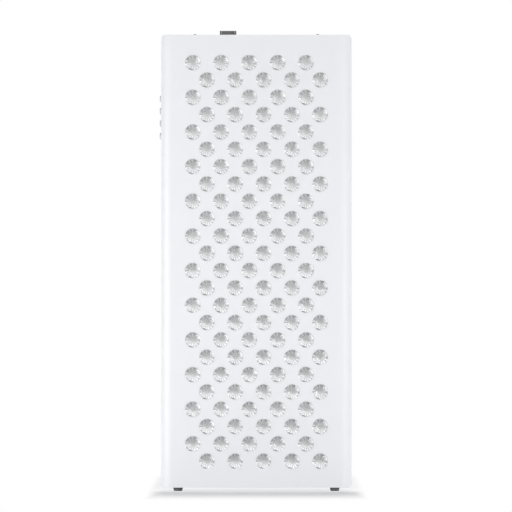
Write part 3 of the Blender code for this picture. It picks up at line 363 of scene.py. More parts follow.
def cut(piece, tool, operation="DIFFERENCE"):
    """Cuts the tool from the piece, joins it on, or keeps what both share."""
    change = piece.modifiers.new("cut", "BOOLEAN")
    change.operation = operation
    change.solver = "EXACT"
    change.object = tool
    activate(piece)
    bpy.ops.object.modifier_apply(modifier=change.name)
    bpy.data.objects.remove(tool)


def ease(piece, width, steps=2, angle=30):
    """Breaks every sharp edge of the piece."""
    change = piece.modifiers.new("ease", "BEVEL")
    change.width = width
    change.segments = steps
    change.limit_method = "ANGLE"
    change.angle_limit = math.radians(angle)
    activate(piece)
    bpy.ops.object.modifier_apply(modifier=change.name)


def smooth(piece, angle=32):
    """Shades the piece smooth, except across its sharp edges."""
    activate(piece)
    bpy.ops.object.shade_smooth_by_angle(angle=math.radians(angle))


def smooth_flat(piece, angle=32):
    """Shades the piece smooth, and keeps its large faces flat beside their rounded edges."""
    smooth(piece, angle)
    change = piece.modifiers.new("flat", "WEIGHTED_NORMAL")
    change.keep_sharp = True
    activate(piece)
    bpy.ops.object.modifier_apply(modifier=change.name)


def join(pieces, name):
    """Joins pieces into one mesh object."""
    activate(pieces[0])
    for piece in pieces:
        piece.select_set(True)
    bpy.ops.object.join()
    return name_piece(name)


def repeat(piece, places, name):
    """Copies of the piece moved to each place, joined into one object in its stead."""
    copies = []
    for place in places:
        copy = piece.copy()
        copy.data = piece.data.copy()
        copy.location = place
        bpy.context.collection.objects.link(copy)
        copies.append(copy)
    bpy.data.objects.remove(piece)
    return join(copies, name)


def turned(name, rings, sides):
    """A round piece about +Z, drawn out ring by ring from (radius, height) pairs."""
    deselect()
    radius, height = rings[0]
    bpy.ops.mesh.primitive_circle_add(
        vertices=sides, radius=radius, location=(0, 0, height), fill_type="NGON"
    )
    piece = name_piece(name)
    bpy.ops.object.mode_set(mode="EDIT")
    bpy.ops.mesh.select_all(action="SELECT")
    for (radius, height), (wider, higher) in zip(rings, rings[1:]):
        bpy.ops.mesh.extrude_region_move(
            TRANSFORM_OT_translate={"value": (0, 0, higher - height)}
        )
        bpy.ops.transform.resize(
            value=(wider / radius, wider / radius, 1), center_override=(0, 0, higher)
        )
    bpy.ops.mesh.select_all(action="SELECT")
    bpy.ops.mesh.normals_make_consistent(inside=False)
    bpy.ops.object.mode_set(mode="OBJECT")
    return piece


def rod(name, radius, low, high, sides):
    """A straight round bar about +Z between two heights."""
    return turned(name, [(radius, low), (radius, high)], sides)


def aim(piece, direction, place=(0, 0, 0)):
    """Turns a piece drawn about +Z to point along a direction, and moves it to its place."""
    piece.rotation_euler = Vector(direction).to_track_quat("Z", "Y").to_euler()
    piece.location = place
    return settle(piece)


def dress(piece, body, material, slot, *nodes):
    """Gives a finished piece its body and material, and hides the nodes it stands for; its slot is not
    used.
    """
    piece.data.materials.clear()
    piece.data.materials.append(material)
    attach(piece, body)
    if nodes:
        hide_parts(*nodes)


# Grain of coated and moulded surfaces: its scale, its gloss either way, its depth and strength
GRAIN_SCALE = 900
GRAIN_GLOSS = 0.06
GRAIN_DEPTH = 0.00002
GRAIN_STRENGTH = 0.5

# Lines of brushed metal: the same, and how far they are drawn out along one axis
LINE_SCALE = 600
LINE_STRETCH = 0.02
LINE_BRIGHTEST = 0.08
LINE_DULLEST = 0.1
LINE_DEPTH = 0.00001
LINE_STRENGTH = 0.4


# Shader groups: each gives masks and heights that materials mix by themselves
def new_group(name, inputs, outputs):
    """An empty shader group with named float sockets."""
    group = bpy.data.node_groups.new(name, "ShaderNodeTree")
    for label, value in inputs:
        socket = group.interface.new_socket(
            name=label, in_out="INPUT", socket_type="NodeSocketFloat"
        )
        socket.default_value = value
    for label in outputs:
        group.interface.new_socket(name=label, in_out="OUTPUT", socket_type="NodeSocketFloat")
    nodes = group.nodes
    return group, nodes.new("NodeGroupInput"), nodes.new("NodeGroupOutput")


def grain_group():
    """Fine even texture, and slow cloudy variation, of a coated or moulded surface."""
    group, given, result = new_group(
        "surface_grain", (("Grain Scale", GRAIN_SCALE), ("Cloud Scale", 12)), ("Grain", "Cloud")
    )
    nodes, links = group.nodes, group.links
    where = nodes.new("ShaderNodeTexCoord")
    grain = nodes.new("ShaderNodeTexNoise")
    grain.inputs["Detail"].default_value = 2
    cloud = nodes.new("ShaderNodeTexNoise")
    cloud.inputs["Detail"].default_value = 3
    for texture, label, output in ((grain, "Grain Scale", "Grain"), (cloud, "Cloud Scale", "Cloud")):
        links.new(where.outputs["Object"], texture.inputs["Vector"])
        links.new(given.outputs[label], texture.inputs["Scale"])
        links.new(texture.outputs["Fac"], result.inputs[output])
    return group


def brush_group():
    """Long fine lines of a drawn or brushed metal, along one axis."""
    group, given, result = new_group("brushed_lines", (("Line Scale", LINE_SCALE),), ("Lines",))
    nodes, links = group.nodes, group.links
    where = nodes.new("ShaderNodeTexCoord")
    stretch = nodes.new("ShaderNodeMapping")
    stretch.inputs["Scale"].default_value = (1, 1, LINE_STRETCH)
    lines = nodes.new("ShaderNodeTexNoise")
    lines.inputs["Detail"].default_value = 4
    links.new(where.outputs["Object"], stretch.inputs["Vector"])
    links.new(stretch.outputs["Vector"], lines.inputs["Vector"])
    links.new(given.outputs["Line Scale"], lines.inputs["Scale"])
    links.new(lines.outputs["Fac"], result.inputs["Lines"])
    return group


GRAIN = grain_group()
BRUSH = brush_group()


def new_material(name, roughness, metallic):
    """A Principled material, with its nodes, links and shader."""
    material = bpy.data.materials.new(name)
    material.use_nodes = True
    nodes, links = material.node_tree.nodes, material.node_tree.links
    shader = nodes["Principled BSDF"]
    shader.inputs["Roughness"].default_value = roughness
    shader.inputs["Metallic"].default_value = metallic
    return material, nodes, links, shader


def place_group(nodes, group, **values):
    """A group in a material, with its own values; an underscore stands for a space."""
    node = nodes.new("ShaderNodeGroup")
    node.node_tree = group
    for label, value in values.items():
        node.inputs[label.replace("_", " ")].default_value = value
    return node


def mix_tones(nodes, links, mask, first, second, shader):
    """Base colour between two tones, by a mask."""
    mix = nodes.new("ShaderNodeMix")
    mix.data_type = "RGBA"
    mix.inputs["A"].default_value = (*first, 1)
    mix.inputs["B"].default_value = (*second, 1)
    links.new(mask, mix.inputs["Factor"])
    links.new(mix.outputs["Result"], shader.inputs["Base Color"])


def vary_roughness(nodes, links, mask, low, high, shader):
    """Roughness between two values, by a mask."""
    spread = nodes.new("ShaderNodeMapRange")
    spread.inputs["To Min"].default_value = low
    spread.inputs["To Max"].default_value = high
    links.new(mask, spread.inputs["Value"])
    links.new(spread.outputs["Result"], shader.inputs["Roughness"])


def raise_bumps(nodes, links, height, depth, strength, shader):
    """A bump of this depth on the shader's normal."""
    bump = nodes.new("ShaderNodeBump")
    bump.inputs["Distance"].default_value = depth
    bump.inputs["Strength"].default_value = strength
    links.new(height, bump.inputs["Height"])
    links.new(bump.outputs["Normal"], shader.inputs["Normal"])


def grained(name, light, dark, roughness, metallic=0.0, grain=GRAIN_SCALE):
    """A coated, moulded or cast surface: two close tones, uneven gloss and fine grain."""
    material, nodes, links, shader = new_material(name, roughness, metallic)
    surface = place_group(nodes, GRAIN, Grain_Scale=grain, Cloud_Scale=14)
    mix_tones(nodes, links, surface.outputs["Cloud"], dark, light, shader)
    dull, bright = roughness + GRAIN_GLOSS, roughness - GRAIN_GLOSS
    vary_roughness(nodes, links, surface.outputs["Grain"], bright, dull, shader)
    raise_bumps(nodes, links, surface.outputs["Grain"], GRAIN_DEPTH, GRAIN_STRENGTH, shader)
    return material


def brushed(name, light, dark, roughness):
    """A drawn or rolled metal: fine lines in its tone, gloss and surface."""
    material, nodes, links, shader = new_material(name, roughness, 1.0)
    surface = place_group(nodes, BRUSH, Line_Scale=LINE_SCALE)
    mix_tones(nodes, links, surface.outputs["Lines"], dark, light, shader)
    dull, bright = roughness + LINE_DULLEST, roughness - LINE_BRIGHTEST
    vary_roughness(nodes, links, surface.outputs["Lines"], bright, dull, shader)
    raise_bumps(nodes, links, surface.outputs["Lines"], LINE_DEPTH, LINE_STRENGTH, shader)
    return material


def lens_facet_material():
    """Mirror-like facets at the back of a clear lens, each with its own painted tone of reflection and
    of light from above.
    """
    material, nodes, links, shader = new_material("lens_facets", 0.25, 0.0)
    # Base colour from each facet's painted tone of reflection and light
    tone = nodes.new("ShaderNodeAttribute")
    tone.attribute_name = "painted_facet_light"
    mix_tones(nodes, links, tone.outputs["Fac"], (0.05, 0.05, 0.053), (0.97, 0.975, 0.99), shader)
    surface = place_group(nodes, GRAIN, Grain_Scale=500, Cloud_Scale=40)
    raise_bumps(nodes, links, surface.outputs["Grain"], 0.0001, 0.25, shader)
    return material


def lens_glass_material():
    """Clear moulded lens front, with a faint ripple."""
    material, nodes, links, shader = new_material("clear_lens", 0.02, 0.0)
    shader.inputs["Transmission Weight"].default_value = 1.0
    shader.inputs["IOR"].default_value = 1.585
    surface = place_group(nodes, GRAIN, Grain_Scale=260, Cloud_Scale=30)
    mix_tones(nodes, links, surface.outputs["Cloud"], (0.985, 0.987, 0.99), (1, 1, 1), shader)
    raise_bumps(nodes, links, surface.outputs["Grain"], 0.00005, 0.07, shader)
    rays = nodes.new("ShaderNodeLightPath")
    through = nodes.new("ShaderNodeBsdfTransparent")
    choose = nodes.new("ShaderNodeMixShader")
    links.new(rays.outputs["Is Shadow Ray"], choose.inputs[0])
    links.new(shader.outputs[0], choose.inputs[1])
    links.new(through.outputs[0], choose.inputs[2])
    links.new(choose.outputs[0], nodes["Material Output"].inputs["Surface"])
    return material


WHITE_COAT = grained("white_powder_coat", (0.83, 0.84, 0.865), (0.815, 0.825, 0.85), 0.42, grain=1100)
LENS_FACETS = lens_facet_material()
LENS_GLASS = lens_glass_material()
LENS_SHEET = grained("moulded_lens_sheet", (0.7, 0.71, 0.72), (0.66, 0.67, 0.68), 0.25)
CHIP_WINDOW = grained("lamp_chip_window", (0.42, 0.41, 0.41), (0.36, 0.35, 0.35), 0.3)
BOARD_COAT = grained("white_board_coat", (0.78, 0.79, 0.78), (0.72, 0.73, 0.72), 0.45)
SINK_METAL = brushed("extruded_aluminium", (0.72, 0.73, 0.75), (0.60, 0.61, 0.63), 0.36)
ZINC = brushed("zinc_plated_steel", (0.66, 0.67, 0.69), (0.52, 0.53, 0.56), 0.3)
SCREW_METAL = grained("screw_metal", (0.62, 0.63, 0.65), (0.52, 0.53, 0.55), 0.3, 1.0, grain=1500)
HANGER_METAL = grained("dark_screw", (0.10, 0.10, 0.105), (0.08, 0.08, 0.085), 0.35, 0.6, grain=1500)
FAN_PLASTIC = grained("fan_plastic", (0.035, 0.035, 0.038), (0.026, 0.026, 0.028), 0.45)
SWITCH_PLASTIC = grained("switch_plastic", (0.125, 0.125, 0.13), (0.105, 0.105, 0.11), 0.42)
# The rocker's plastic is the switch's grey painted lighter: painted light that offsets the shade the
# rocker sits in between the guards
LIGHTENED_ROCKER_PLASTIC = grained("rocker_plastic_painted_lighter", (0.2, 0.2, 0.205), (0.18, 0.18, 0.185), 0.38)
INLET_PLASTIC = grained("inlet_plastic", (0.04, 0.04, 0.043), (0.03, 0.03, 0.032), 0.4)
BUTTON_PLASTIC = grained("button_plastic", (0.66, 0.67, 0.69), (0.62, 0.63, 0.65), 0.35)
FOOT_RUBBER = grained("foot_rubber", (0.225, 0.225, 0.235), (0.19, 0.19, 0.2), 0.75, grain=1400)
BOARD_GREEN = grained("green_board", (0.035, 0.17, 0.075), (0.025, 0.13, 0.055), 0.4)
LEAD_SHEATH = grained("lead_sheath", (0.10, 0.10, 0.11), (0.07, 0.07, 0.075), 0.55)
BLADE_METAL = brushed("brass_blade", (0.72, 0.66, 0.48), (0.58, 0.52, 0.36), 0.25)


def case_block(name, inset, rear):
    """The case's rounded block, drawn in from its outside by an inset."""
    low = CASE_LOW + Vector((inset, inset, inset))
    high = Vector((CASE_HIGH.x - inset, rear, CASE_HIGH.z - inset))
    body = block(name, low, high)
    radius = EDGE_RADIUS - inset

    def upright_front(start, end):
        return stands(start, end) and near(start.y, low.y)

    round_edges(body, upright_front, radius, EDGE_STEPS)
    reach = Vector((0, OVERRUN, 0))
    outline = block(name + "_outline", low - reach, high + reach)
    round_edges(outline, runs_back, max(CORNER_RADIUS - inset, CLEARANCE), CORNER_STEPS)
    cut(body, outline, "INTERSECT")
    return body


def lens_row(row):
    """Centres of the lenses in one row, counted from the bottom."""
    shift = ROW_SHIFT if row % 2 == 0 else -ROW_SHIFT
    height = CASE_LOW.z + BOTTOM_MARGIN + row * ROW_PITCH
    across = [(column - (LENS_COLUMNS - 1) / 2) * COLUMN_PITCH for column in range(LENS_COLUMNS)]
    return [(shift + x, height) for x in across]


def case_shell():
    """The folded sheet tray, with a round hole for each lens."""
    shell = case_block("case_shell", 0, CASE_HIGH.y)
    ease(shell, FOLD_EDGE, steps=3, angle=40)
    cut(shell, case_block("case_hollow", SHEET, CASE_HIGH.y - SHEET))
    flange = Vector((FLANGE_WIDTH, 0, FLANGE_WIDTH))
    low = Vector((CASE_LOW.x, CASE_HIGH.y - SHEET - OVERRUN, CASE_LOW.z)) + flange
    high = Vector((CASE_HIGH.x, CASE_HIGH.y + OVERRUN, CASE_HIGH.z)) - flange
    cut(shell, block("case_opening", low, high))
    places = [(x, CASE_LOW.y, z) for row in range(LENS_ROWS) for x, z in lens_row(row)]
    wide = HOLE_RADIUS + HOLE_EASE
    rings = [
        (HOLE_RADIUS, -SHEET - OVERRUN),
        (HOLE_RADIUS, -HOLE_EASE),
        (wide, 0),
        (wide, OVERRUN),
    ]
    punch = aim(turned("lens_punch", rings, HOLE_SIDES), (0, -1, 0))
    cut(shell, repeat(punch, places, "lens_punches"))
    for number in range(1, len(BUTTON_BODIES) + 1):
        low, high = corners(f"button_{number}")
        middle = (low + high) / 2
        radius = BUTTON_RADIUS + CLEARANCE
        punch = rod("button_punch", radius, -OVERRUN, OVERRUN, BUTTON_HOLE_SIDES)
        cut(shell, aim(punch, (-1, 0, 0), (CASE_LOW.x, middle.y, middle.z)))
    low, high = corners("switch_body")
    lip = Vector((SWITCH_LIP, SWITCH_LIP, 0))
    window = block(
        "switch_window",
        Vector((low.x, low.y, CASE_HIGH.z - OVERRUN)) + lip,
        Vector((high.x, high.y, CASE_HIGH.z + OVERRUN)) - lip,
    )
    cut(shell, window)
    smooth_flat(shell)
    dress(shell, "case", WHITE_COAT, "white_coat", "front_housing")


# Lenses: a clear front over a cup of facets and ribs, with a lamp chip at its bottom
def painted_light_fall(centre):
    """How far a place on a lens is into its bright lower part, from 0 to 1: a painted gradient of
    light from above, dark at the top.
    """
    height = centre.y - abs(centre.x) * PAINTED_LIGHT_SIDE
    share = min(max((PAINTED_LIGHT_START - height / LENS_RADIUS) / PAINTED_LIGHT_SPAN, 0), 1)
    return share * share * (3 - 2 * share)


def turn_of(centre):
    """How far round a lens a facet is, in degrees from its top."""
    return math.degrees(math.atan2(centre.x, centre.y)) % 360


def is_rib(centre):
    """Whether a facet of the cup's wall is one of its ribs."""
    pitch = 360 / CUP_RIBS
    turn = turn_of(centre) - RIB_TURN
    return abs((turn + pitch / 2) % pitch - pitch / 2) < 180 / CUP_SIDES


def is_marked(centre):
    """Whether a facet at the rim is one of the small dark marks."""
    turn = turn_of(centre)
    return is_rib(centre) and all(abs(turn - plain) > MARK_REACH for plain in PLAIN_TURNS)


def painted_facet_light(centre, normal):
    """The painted tone of one facet, which stands in for its reflections and for light from above: by
    its kind and height on the lens, in lighter and darker turns.
    """
    across = math.hypot(centre.x, centre.y)
    turn = turn_of(centre)
    if normal.z < CUP_FACING or across > CUP_RADIUS - CUP_RIM:
        return RIM_TONE
    # The rim's band: a painted highlight at the upper right, and painted dark marks, which on ribs
    # fade in the lower part with the painted light
    if across > CUP_BAND_RADIUS:
        if abs(turn - PAINTED_HIGHLIGHT_TURN) < PAINTED_HIGHLIGHT_REACH:
            return PAINTED_HIGHLIGHT_TONE
        if abs(turn - MARK_TURN) < MARK_REACH:
            return MARK_TONE
        if is_marked(centre):
            return MARK_TONE + (FAINT_TONE - MARK_TONE) * painted_light_fall(centre)
    if across < CUP_FLOOR_RADIUS:
        dark, light = FLOOR_TONES
    elif is_rib(centre):
        dark, light = RIB_TONES
    else:
        dark, light = FACET_TONES
    step = TONE_STEP if int(turn * CUP_SIDES / 360) % 2 else -TONE_STEP
    # Painted light: darker at the top and lighter below, with alternate facets lighter and darker
    return (dark + (light - dark) * painted_light_fall(centre)) * (1 + step)


def lens_cup():
    """One moulded lens body: a cup of facets, some raised as ribs, each with its painted tone of
    reflection and of light from above.
    """
    rings = [
        (LENS_BASE_RADIUS, -LENS_DEPTH),
        (CUP_RADIUS, -CUP_RIM_DEPTH - RIM_THICKNESS),
        (CUP_RADIUS, -CUP_RIM_DEPTH),
        (CUP_RADIUS - CUP_RIM, -CUP_RIM_DEPTH),
        (CUP_BAND_RADIUS, -CUP_BAND_DEPTH),
        (CUP_FLOOR_RADIUS, -CUP_FLOOR_DEPTH),
        (CUP_LEDGE_RADIUS, -CUP_FLOOR_DEPTH + CUP_LEDGE),
        (CUP_SLOPE_RADIUS, -CUP_FLOOR_DEPTH - CUP_SLOPE_DISH),
        (CUP_BOTTOM_RADIUS, -CUP_FLOOR_DEPTH - CUP_DISH),
    ]
    cup = turned("lens_cup", rings, CUP_SIDES)

    def rib(centre, normal):
        across = math.hypot(centre.x, centre.y)
        on_wall = CUP_FLOOR_RADIUS < across < CUP_RADIUS - CUP_RIM
        return normal.z > CUP_FACING and on_wall and is_rib(centre)

    edit_faces(cup, rib)
    bpy.ops.mesh.extrude_region_shrink_fatten(TRANSFORM_OT_shrink_fatten={"value": RIB_HEIGHT})
    bpy.ops.object.mode_set(mode="OBJECT")
    # Each facet's painted tone of reflection and of light from above
    tone = cup.data.attributes.new("painted_facet_light", "FLOAT", "FACE")
    for face in cup.data.polygons:
        tone.data[face.index].value = painted_facet_light(face.center, face.normal)
    return cup


def lens_dome():
    """One clear lens front, flat behind and domed in front."""
    height = LENS_PROUD + DOME_RIM_DEPTH
    ball = (DOME_RADIUS ** 2 + height ** 2) / (2 * height)
    rings = [(DOME_RADIUS, -DOME_RIM_DEPTH - DOME_EDGE), (DOME_RADIUS, -DOME_RIM_DEPTH)]
    for share in DOME_SHARES:
        radius = DOME_RADIUS * share
        rings.append((radius, LENS_PROUD - ball + math.sqrt(ball ** 2 - radius ** 2)))
    return turned("lens_dome", rings, DOME_SIDES)


def lamp_chip():
    """The square window of one lamp chip, at the bottom of its lens."""
    base = -CUP_FLOOR_DEPTH - CUP_DISH
    half = CHIP_SIZE / 2
    return block("chip", (-half, -half, base - CHIP_HEIGHT / 2), (half, half, base + CHIP_HEIGHT))


def lenses(number):
    """The lenses in front of one board, with their sheet and chips."""
    node = f"lens_array_{number + 1}"
    rows = range(number * BOARD_ROWS, (number + 1) * BOARD_ROWS)
    places = [(x, CASE_LOW.y, z) for row in rows for x, z in lens_row(row)]
    cups = repeat(aim(lens_cup(), (0, -1, 0)), places, f"lens_cups_{number + 1}")
    smooth(cups, 20)
    dress(cups, "case", LENS_FACETS, "clear_lens", node)
    domes = repeat(aim(lens_dome(), (0, -1, 0)), places, f"lens_fronts_{number + 1}")
    smooth(domes)
    dress(domes, "case", LENS_GLASS, "clear_lens", node)
    chips = repeat(aim(lamp_chip(), (0, -1, 0)), places, f"lamp_chips_{number + 1}")
    dress(chips, "case", CHIP_WINDOW, "lamp_board", node)
    low, high = corners(f"led_board_{number + 1}")
    sheet = block(
        f"lens_sheet_{number + 1}",
        (low.x, CASE_LOW.y + LENS_DEPTH, low.z),
        (high.x, low.y - CLEARANCE, high.z),
    )
    ease(sheet, CLEARANCE)
    dress(sheet, "case", LENS_SHEET, "clear_lens", node)


# Rear cover: grilles over the fans, air slots, the inlet's window and screw holes
def grille_cutter(centre):
    """Rings of slots over one fan, with bridges that turn from ring to ring."""
    tools = []
    for ring in range(1, GRILLE_RINGS + 1):
        middle = ring * GRILLE_PITCH
        half = math.pi / GRILLE_ARCS - GRILLE_BRIDGE / middle
        outer, inner = middle + GRILLE_SLOT / 2, middle - GRILLE_SLOT / 2
        tube = rod("grille_ring", outer, -OVERRUN, OVERRUN, GRILLE_SIDES)
        deep = 2 * OVERRUN
        cut(tube, rod("grille_core", inner, -deep, deep, GRILLE_SIDES))
        bridge = 2 * middle * math.sin(math.pi / GRILLE_ARCS - half)
        reach = middle + GRILLE_SLOT
        turn = (ring + 1) * math.pi / GRILLE_ARCS
        for quarter in range(2):
            bar = block("bridge", (-reach, -bridge / 2, -deep), (reach, bridge / 2, deep))
            bar.rotation_euler = (0, 0, turn + quarter * math.pi / 2)
            cut(tube, settle(bar))
        tools.append(aim(tube, (0, 1, 0), centre))
    return tools


def vent_cutter(x, height):
    """One air slot through the cover, with rounded ends."""
    low = (x - VENT_WIDTH / 2, COVER_LOW.y - OVERRUN, height - VENT_LENGTH / 2)
    high = (x + VENT_WIDTH / 2, COVER_HIGH.y + OVERRUN, height + VENT_LENGTH / 2)
    tool = block("slot", low, high)
    round_edges(tool, runs_back, VENT_END_RADIUS, VENT_END_STEPS)
    return tool


def rear_cover():
    """The flat sheet over the back."""
    cover = block("back_cover", COVER_LOW, COVER_HIGH)
    round_edges(cover, runs_back, CORNER_RADIUS, CORNER_STEPS)
    tools = []
    for name in FAN_NAMES:
        low, high = corners(f"fan_frame_{name}")
        tools += grille_cutter(((low.x + high.x) / 2, COVER_HIGH.y, (low.z + high.z) / 2))
    for middle, height in VENT_ROWS:
        for number in range(VENT_COUNT):
            tools.append(vent_cutter(middle + (number - (VENT_COUNT - 1) / 2) * VENT_PITCH, height))
    for name in COVER_SCREWS:
        low, high = corners(name)
        middle = (low + high) / 2
        hole = rod("screw_hole", SCREW_HOLE_RADIUS, -OVERRUN, OVERRUN, SCREW_HOLE_SIDES)
        tools.append(aim(hole, (0, 1, 0), (middle.x, COVER_HIGH.y, middle.z)))
    half_width = INLET_WIDTH / 2 + CLEARANCE
    half_height = INLET_HEIGHT / 2 + CLEARANCE
    window = block(
        "inlet_window",
        (INLET_X - half_width, COVER_LOW.y - OVERRUN, INLET_Z - half_height),
        (INLET_X + half_width, COVER_HIGH.y + OVERRUN, INLET_Z + half_height),
    )
    tools.append(window)
    cut(cover, join(tools, "cover_cutters"))
    ease(cover, SHEET_EASE, angle=60)
    smooth_flat(cover, 40)
    dress(cover, "case", WHITE_COAT, "white_coat", "rear_cover")


def screw_rings(shank, length, radius, head, outline):
    """The rings of a screw with its top at zero: a pointed shank, and a head of this outline."""
    rings = [
        (shank * SCREW_TIP_SHARE, -length),
        (shank, -length + shank * SCREW_TIP_RISE),
        (shank, -head),
    ]
    return rings + [(radius * wide, -head * high) for wide, high in outline]


def pan_head_screw(name):
    """A pan-head screw with a cross recess, over its CAD node, with its head to the rear."""
    low, high = corners(name)
    radius = (high.x - low.x) / 2
    rings = screw_rings(SCREW_RADIUS, high.y - low.y, radius, SCREW_HEAD_HEIGHT, PAN_HEAD)
    screw = turned(name + "_screw", rings, SCREW_SIDES)
    arm, wide = radius * SCREW_RECESS_SHARE, SCREW_RECESS / 2
    cross = block("recess", (-arm, -wide, -SCREW_RECESS_DEPTH), (arm, wide, OVERRUN))
    other = block("recess", (-wide, -arm, -SCREW_RECESS_DEPTH), (wide, arm, OVERRUN))
    cut(cross, other, "UNION")
    cut(screw, cross)
    smooth(screw)
    aim(screw, (0, 1, 0), ((low.x + high.x) / 2, high.y, (low.z + high.z) / 2))
    dress(screw, "case", SCREW_METAL, "zinc_steel", name)


def hanging_screw(name):
    """A small domed screw on the top, with a six-sided socket."""
    low, high = corners(name)
    radius = (high.x - low.x) / 2
    rings = screw_rings(HANGER_SHANK_RADIUS, high.z - low.z, radius, HANGER_HEAD_HEIGHT, DOME_HEAD)
    screw = turned(name + "_screw", rings, HANGER_SIDES)
    socket = rod("socket", radius * HANGER_SOCKET_SHARE, -HANGER_SOCKET_DEPTH, OVERRUN, sides=6)
    cut(screw, socket)
    smooth(screw)
    screw.location = ((low.x + high.x) / 2, (low.y + high.y) / 2, high.z)
    settle(screw)
    dress(screw, "case", HANGER_METAL, "zinc_steel", name)


def side_button(number, body):
    """One push button: a rounded cap with a slightly dished face, and its collar and stem."""
    low, high = corners(f"button_{number}")
    proud = CASE_LOW.x - low.x
    length = high.x - CASE_LOW.x
    collar = (high.z - low.z) / 2
    radius, edge = BUTTON_RADIUS, BUTTON_ROUND
    inside = -SHEET - CLEARANCE
    rings = [
        (BUTTON_STEM_RADIUS, -length),
        (BUTTON_STEM_RADIUS, inside - BUTTON_COLLAR),
        (collar, inside - BUTTON_COLLAR),
        (collar, inside),
        (radius, inside),
        (radius, proud - edge),
    ]
    for step in range(1, BUTTON_ROUND_STEPS + 1):
        turn = step / BUTTON_ROUND_STEPS * math.pi / 2
        rings.append((radius - edge + edge * math.cos(turn), proud - edge + edge * math.sin(turn)))
    rings.append((radius * BUTTON_DISH_SHARE, proud - BUTTON_DISH))
    button = turned(f"side_button_{number}", rings, BUTTON_SIDES)
    smooth(button)
    aim(button, (-1, 0, 0), (CASE_LOW.x, (low.y + high.y) / 2, (low.z + high.z) / 2))
    dress(button, body, BUTTON_PLASTIC, "button_grey", f"button_{number}")


def foot(name):
    """One rubber foot: a tapered pad with a rounded sole, and its barbed stem."""
    low, high = corners(f"foot_{name}")
    radius = (high.x - low.x) / 2
    slim = radius - FOOT_TAPER
    edge = FOOT_ROUND
    rings = [(slim - FOOT_SOLE_INSET, 0)]
    for step in range(FOOT_ROUND_STEPS + 1):
        turn = step / FOOT_ROUND_STEPS * math.pi / 2
        rings.append((slim - edge + edge * math.sin(turn), edge - edge * math.cos(turn)))
    rings += [
        (radius, FOOT_HEIGHT - FOOT_TOP_EDGE),
        (radius - FOOT_TOP_EDGE, FOOT_HEIGHT),
        (FOOT_STEM_RADIUS, FOOT_HEIGHT),
        (FOOT_STEM_RADIUS, high.z - FOOT_BARB_HEIGHT),
        (FOOT_STEM_RADIUS + FOOT_BARB, high.z - FOOT_BARB_HEIGHT),
        (FOOT_STEM_RADIUS, high.z),
    ]
    pad = turned(f"foot_pad_{name}", rings, FOOT_SIDES)
    smooth(pad)
    pad.location = ((low.x + high.x) / 2, (low.y + high.y) / 2, 0)
    settle(pad)
    dress(pad, "case", FOOT_RUBBER, "foot_rubber", f"foot_{name}")


# Switch: a bezel with a guard at each side, and the rocker between them
def switch():
    """The fixed part of the rocker switch."""
    low, high = corners("switch_body")
    middle = (low + high) / 2
    top = CASE_HIGH.z
    body = block("switch_frame", (low.x, low.y, top + CLEARANCE), high)
    round_edges(body, stands, SWITCH_CORNER, SWITCH_CORNER_STEPS)
    half = (high.x - low.x) / 2 - SWITCH_GUARD
    between = block(
        "between_guards",
        (middle.x - half, low.y - OVERRUN, top + SWITCH_FRAME),
        (middle.x + half, high.y + OVERRUN, high.z + OVERRUN),
    )
    cut(body, between)
    side = SWITCH_GUARD - SWITCH_WALL
    barrel = block(
        "switch_barrel",
        (low.x + side, low.y + SWITCH_LIP_Y, low.z),
        (high.x - side, high.y - SWITCH_LIP_Y, top + SWITCH_FRAME / 2),
    )
    cut(body, barrel, "UNION")
    pocket_y = (high.y - low.y) / 2 - SWITCH_LIP_Y - SWITCH_WALL
    pocket = block(
        "switch_pocket",
        (middle.x - half, middle.y - pocket_y, top - SWITCH_POCKET),
        (middle.x + half, middle.y + pocket_y, high.z + OVERRUN),
    )
    cut(body, pocket)
    ease(body, SWITCH_EASE, angle=40)
    smooth_flat(body)
    dress(body, "case", SWITCH_PLASTIC, "switch_grey", "switch_body")


def rocker():
    """The rocker: a saddle-shaped paddle with rounded ends, on two pins."""
    low, high = corners("switch_body")
    half = (high.x - low.x) / 2 - SWITCH_GUARD - CLEARANCE
    paddle = block(
        "rocker_paddle",
        (-half, -ROCKER_REACH, -ROCKER_SKIRT),
        (half, ROCKER_REACH, ROCKER_END),
    )
    saddle = rod("saddle", SADDLE_RADIUS, -half - OVERRUN, half + OVERRUN, SADDLE_SIDES)
    aim(saddle, (1, 0, 0), (0, 0, ROCKER_CROWN + SADDLE_RADIUS))
    cut(paddle, saddle)
    keel = block(
        "rocker_keel",
        (-half, -ROCKER_REACH * ROCKER_KEEL_SHARE, -ROCKER_KEEL),
        (half, ROCKER_REACH * ROCKER_KEEL_SHARE, 0),
    )
    cut(paddle, keel, "UNION")
    reach = half + PIVOT_REACH
    pins = rod("rocker_pins", PIVOT_RADIUS, -reach, reach, PIVOT_SIDES)
    cut(paddle, aim(pins, (1, 0, 0)), "UNION")
    ease(paddle, ROCKER_EASE, steps=3, angle=40)
    smooth_flat(paddle)
    paddle.rotation_euler = (-ROCKER_TILT, 0, 0)
    paddle.location = ((low.x + high.x) / 2, (low.y + high.y) / 2, ROCKER_PIVOT_Z)
    settle(paddle)
    dress(paddle, "rocker", LIGHTENED_ROCKER_PLASTIC, "switch_grey", "switch_rocker")


